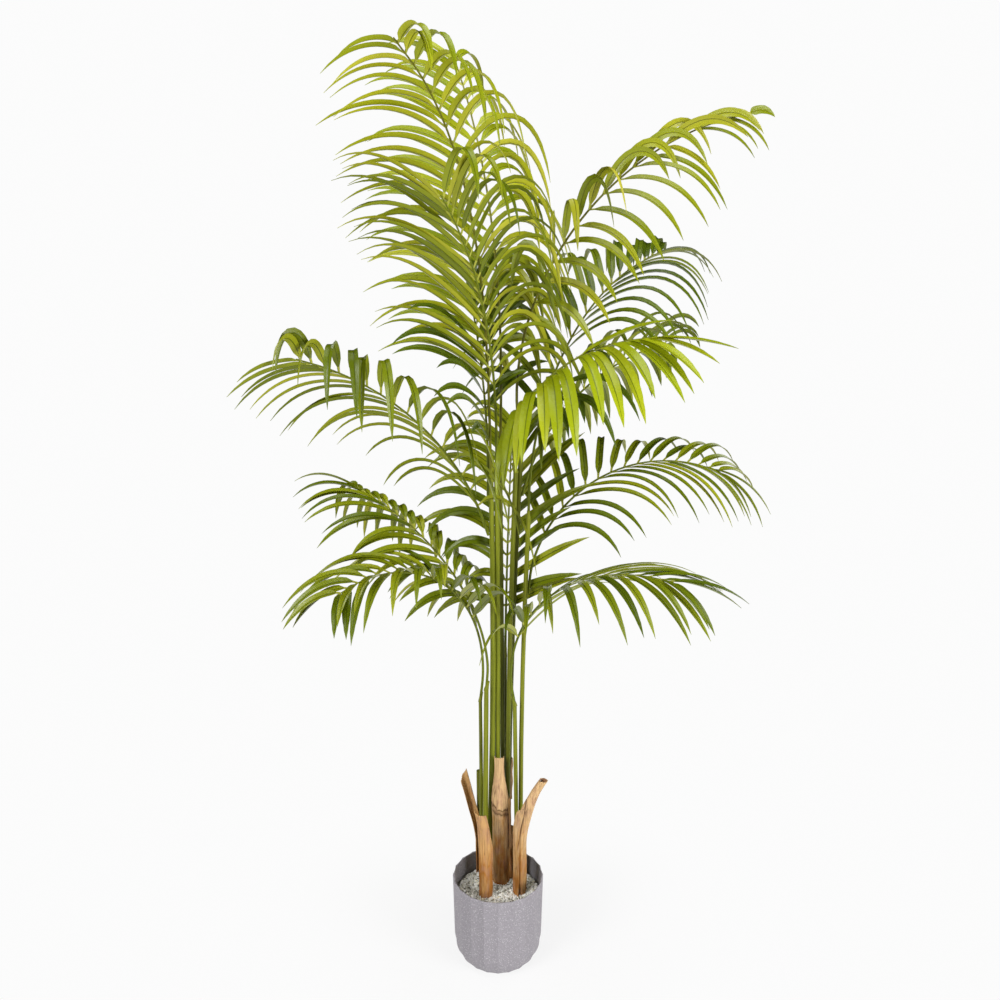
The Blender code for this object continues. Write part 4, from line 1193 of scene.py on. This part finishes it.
def palette():
    # The inside bark is a darker copy, painted shade for the husks' inner skins.
    inside = bark_material("bark_inside", BARK_INSIDE_SHADE)
    materials = {
        "golden": [bark_material("bark_golden", GOLDEN_TONES), inside],
        "russet": [bark_material("bark_russet", RUSSET_TONES), inside],
        "scarred": [bark_material("bark_scarred", GOLDEN_TONES, scar=SCAR_LEVEL), inside],
        # Bark with the painted shadow line beside the flap.
        "flap_shadowed": [bark_material("bark_creased", GOLDEN_TONES, flap_shadowed=True), inside]}
    for kind in (*LEAF_TONES, *KIND_SHIFTS):
        gloss = 0.20
        uppers = kind_tones(LEAF_TONES, kind)
        row = [leaf_material(f"{kind}_leaf_{n}", tone, gloss) for n, tone in enumerate(uppers)]
        for number, tone in enumerate(kind_tones(UNDER_TONES, kind)):
            row.append(leaf_material(f"{kind}_underside_{number}", tone, gloss + 0.06))
        row.append(leaf_material(f"{kind}_stalk", STALK_TONE, gloss))
        row.append(leaf_material(f"{kind}_vein", kind_tones(VEIN_TONES, kind), gloss))
        materials[kind] = row
        rib = kind_tones(RIB_TONES, kind)
        dark = tuple(0.6 * value for value in rib)
        materials[kind + "_rib"] = stem_material(f"{kind}_rib", rib, dark)
    materials["stems"] = {
        kind: stem_material(f"stem_{kind}", *tones) for kind, tones in STEM_TONES.items()}
    return materials


def build_stage():
    """A wide pale floor that fades into a pale backdrop, soft lights and the camera."""
    mesh = bpy.data.meshes.new("floor")
    size = 60.0
    mesh.from_pydata(
        [(-size, -size, 0.0), (size, -size, 0.0), (size, size, 0.0), (-size, size, 0.0)],
        [], [(0, 1, 2, 3)])
    mesh.materials.append(floor_material())
    floor = bpy.data.objects.new("floor", mesh)
    floor.location.z = -0.0002
    bpy.context.scene.collection.objects.link(floor)

    world = bpy.data.worlds.new("studio")
    world.use_nodes = True
    sky = world.node_tree.nodes["Background"]
    sky.inputs["Color"].default_value = (*BACKDROP_TONE, 1.0)
    sky.inputs["Strength"].default_value = 1.0
    world.cycles_visibility.diffuse = False
    world.cycles_visibility.glossy = False
    bpy.context.scene.world = world

    for name, (place, size, power) in LIGHTS.items():
        add_light(name, place, size, power)

    camera = bpy.data.cameras.new("camera")
    camera.lens = CAMERA_LENS
    camera.sensor_width = CAMERA_SENSOR
    camera.sensor_fit = "HORIZONTAL"
    camera.shift_x = CAMERA_SHIFT
    camera.clip_start = 0.05
    camera.clip_end = 200.0
    item = bpy.data.objects.new("camera", camera)
    item.location = CAMERA_PLACE
    item.rotation_euler = (radians(90.0 - CAMERA_PITCH), 0.0, 0.0)
    bpy.context.scene.collection.objects.link(item)
    bpy.context.scene.camera = item
    bpy.context.scene.view_settings.view_transform = "Standard"


def floor_material():
    """A matt floor that glows like the backdrop beyond the plant, so that no edge shows."""
    material = new_material("floor", FLOOR_TONE, 0.9)
    links = material.node_tree.links
    place = add_node(material, "ShaderNodeTexCoord")
    away = add_node(material, "ShaderNodeVectorMath", operation="LENGTH")
    links.new(place.outputs["Object"], away.inputs[0])
    share = add_node(material, "ShaderNodeMapRange", interpolation_type="SMOOTHSTEP")
    share.inputs["From Min"].default_value = FLOOR_FADE[0]
    share.inputs["From Max"].default_value = FLOOR_FADE[1]
    share.inputs["To Min"].default_value = FLOOR_GLOW
    links.new(away.outputs["Value"], share.inputs["Value"])
    glow = add_node(material, "ShaderNodeEmission")
    glow.inputs["Color"].default_value = (*BACKDROP_TONE, 1.0)
    mix = add_node(material, "ShaderNodeMixShader")
    links.new(share.outputs["Result"], mix.inputs["Fac"])
    links.new(shader_of(material).outputs["BSDF"], mix.inputs[1])
    links.new(glow.outputs["Emission"], mix.inputs[2])
    output = material.node_tree.nodes["Material Output"]
    links.new(mix.outputs["Shader"], output.inputs["Surface"])
    return material


def add_light(name, place, size, power):
    light = bpy.data.lights.new(name, "AREA")
    light.shape = "DISK"
    light.size = size
    light.energy = power
    item = bpy.data.objects.new(name, light)
    item.location = place
    aim = Vector((0.0, 0.0, 0.9)) - Vector(place)
    item.rotation_euler = aim.to_track_quat("-Z", "Y").to_euler()
    bpy.context.scene.collection.objects.link(item)


def main():
    build_stage()
    materials = palette()
    build_pot()
    build_gravel()
    for name, sheath in SHEATHS.items():
        build_sheath(name, sheath, materials)
    for name, stem in STEMS.items():
        build_stem(name, stem, materials["stems"])
    build_fronds(materials)


main()
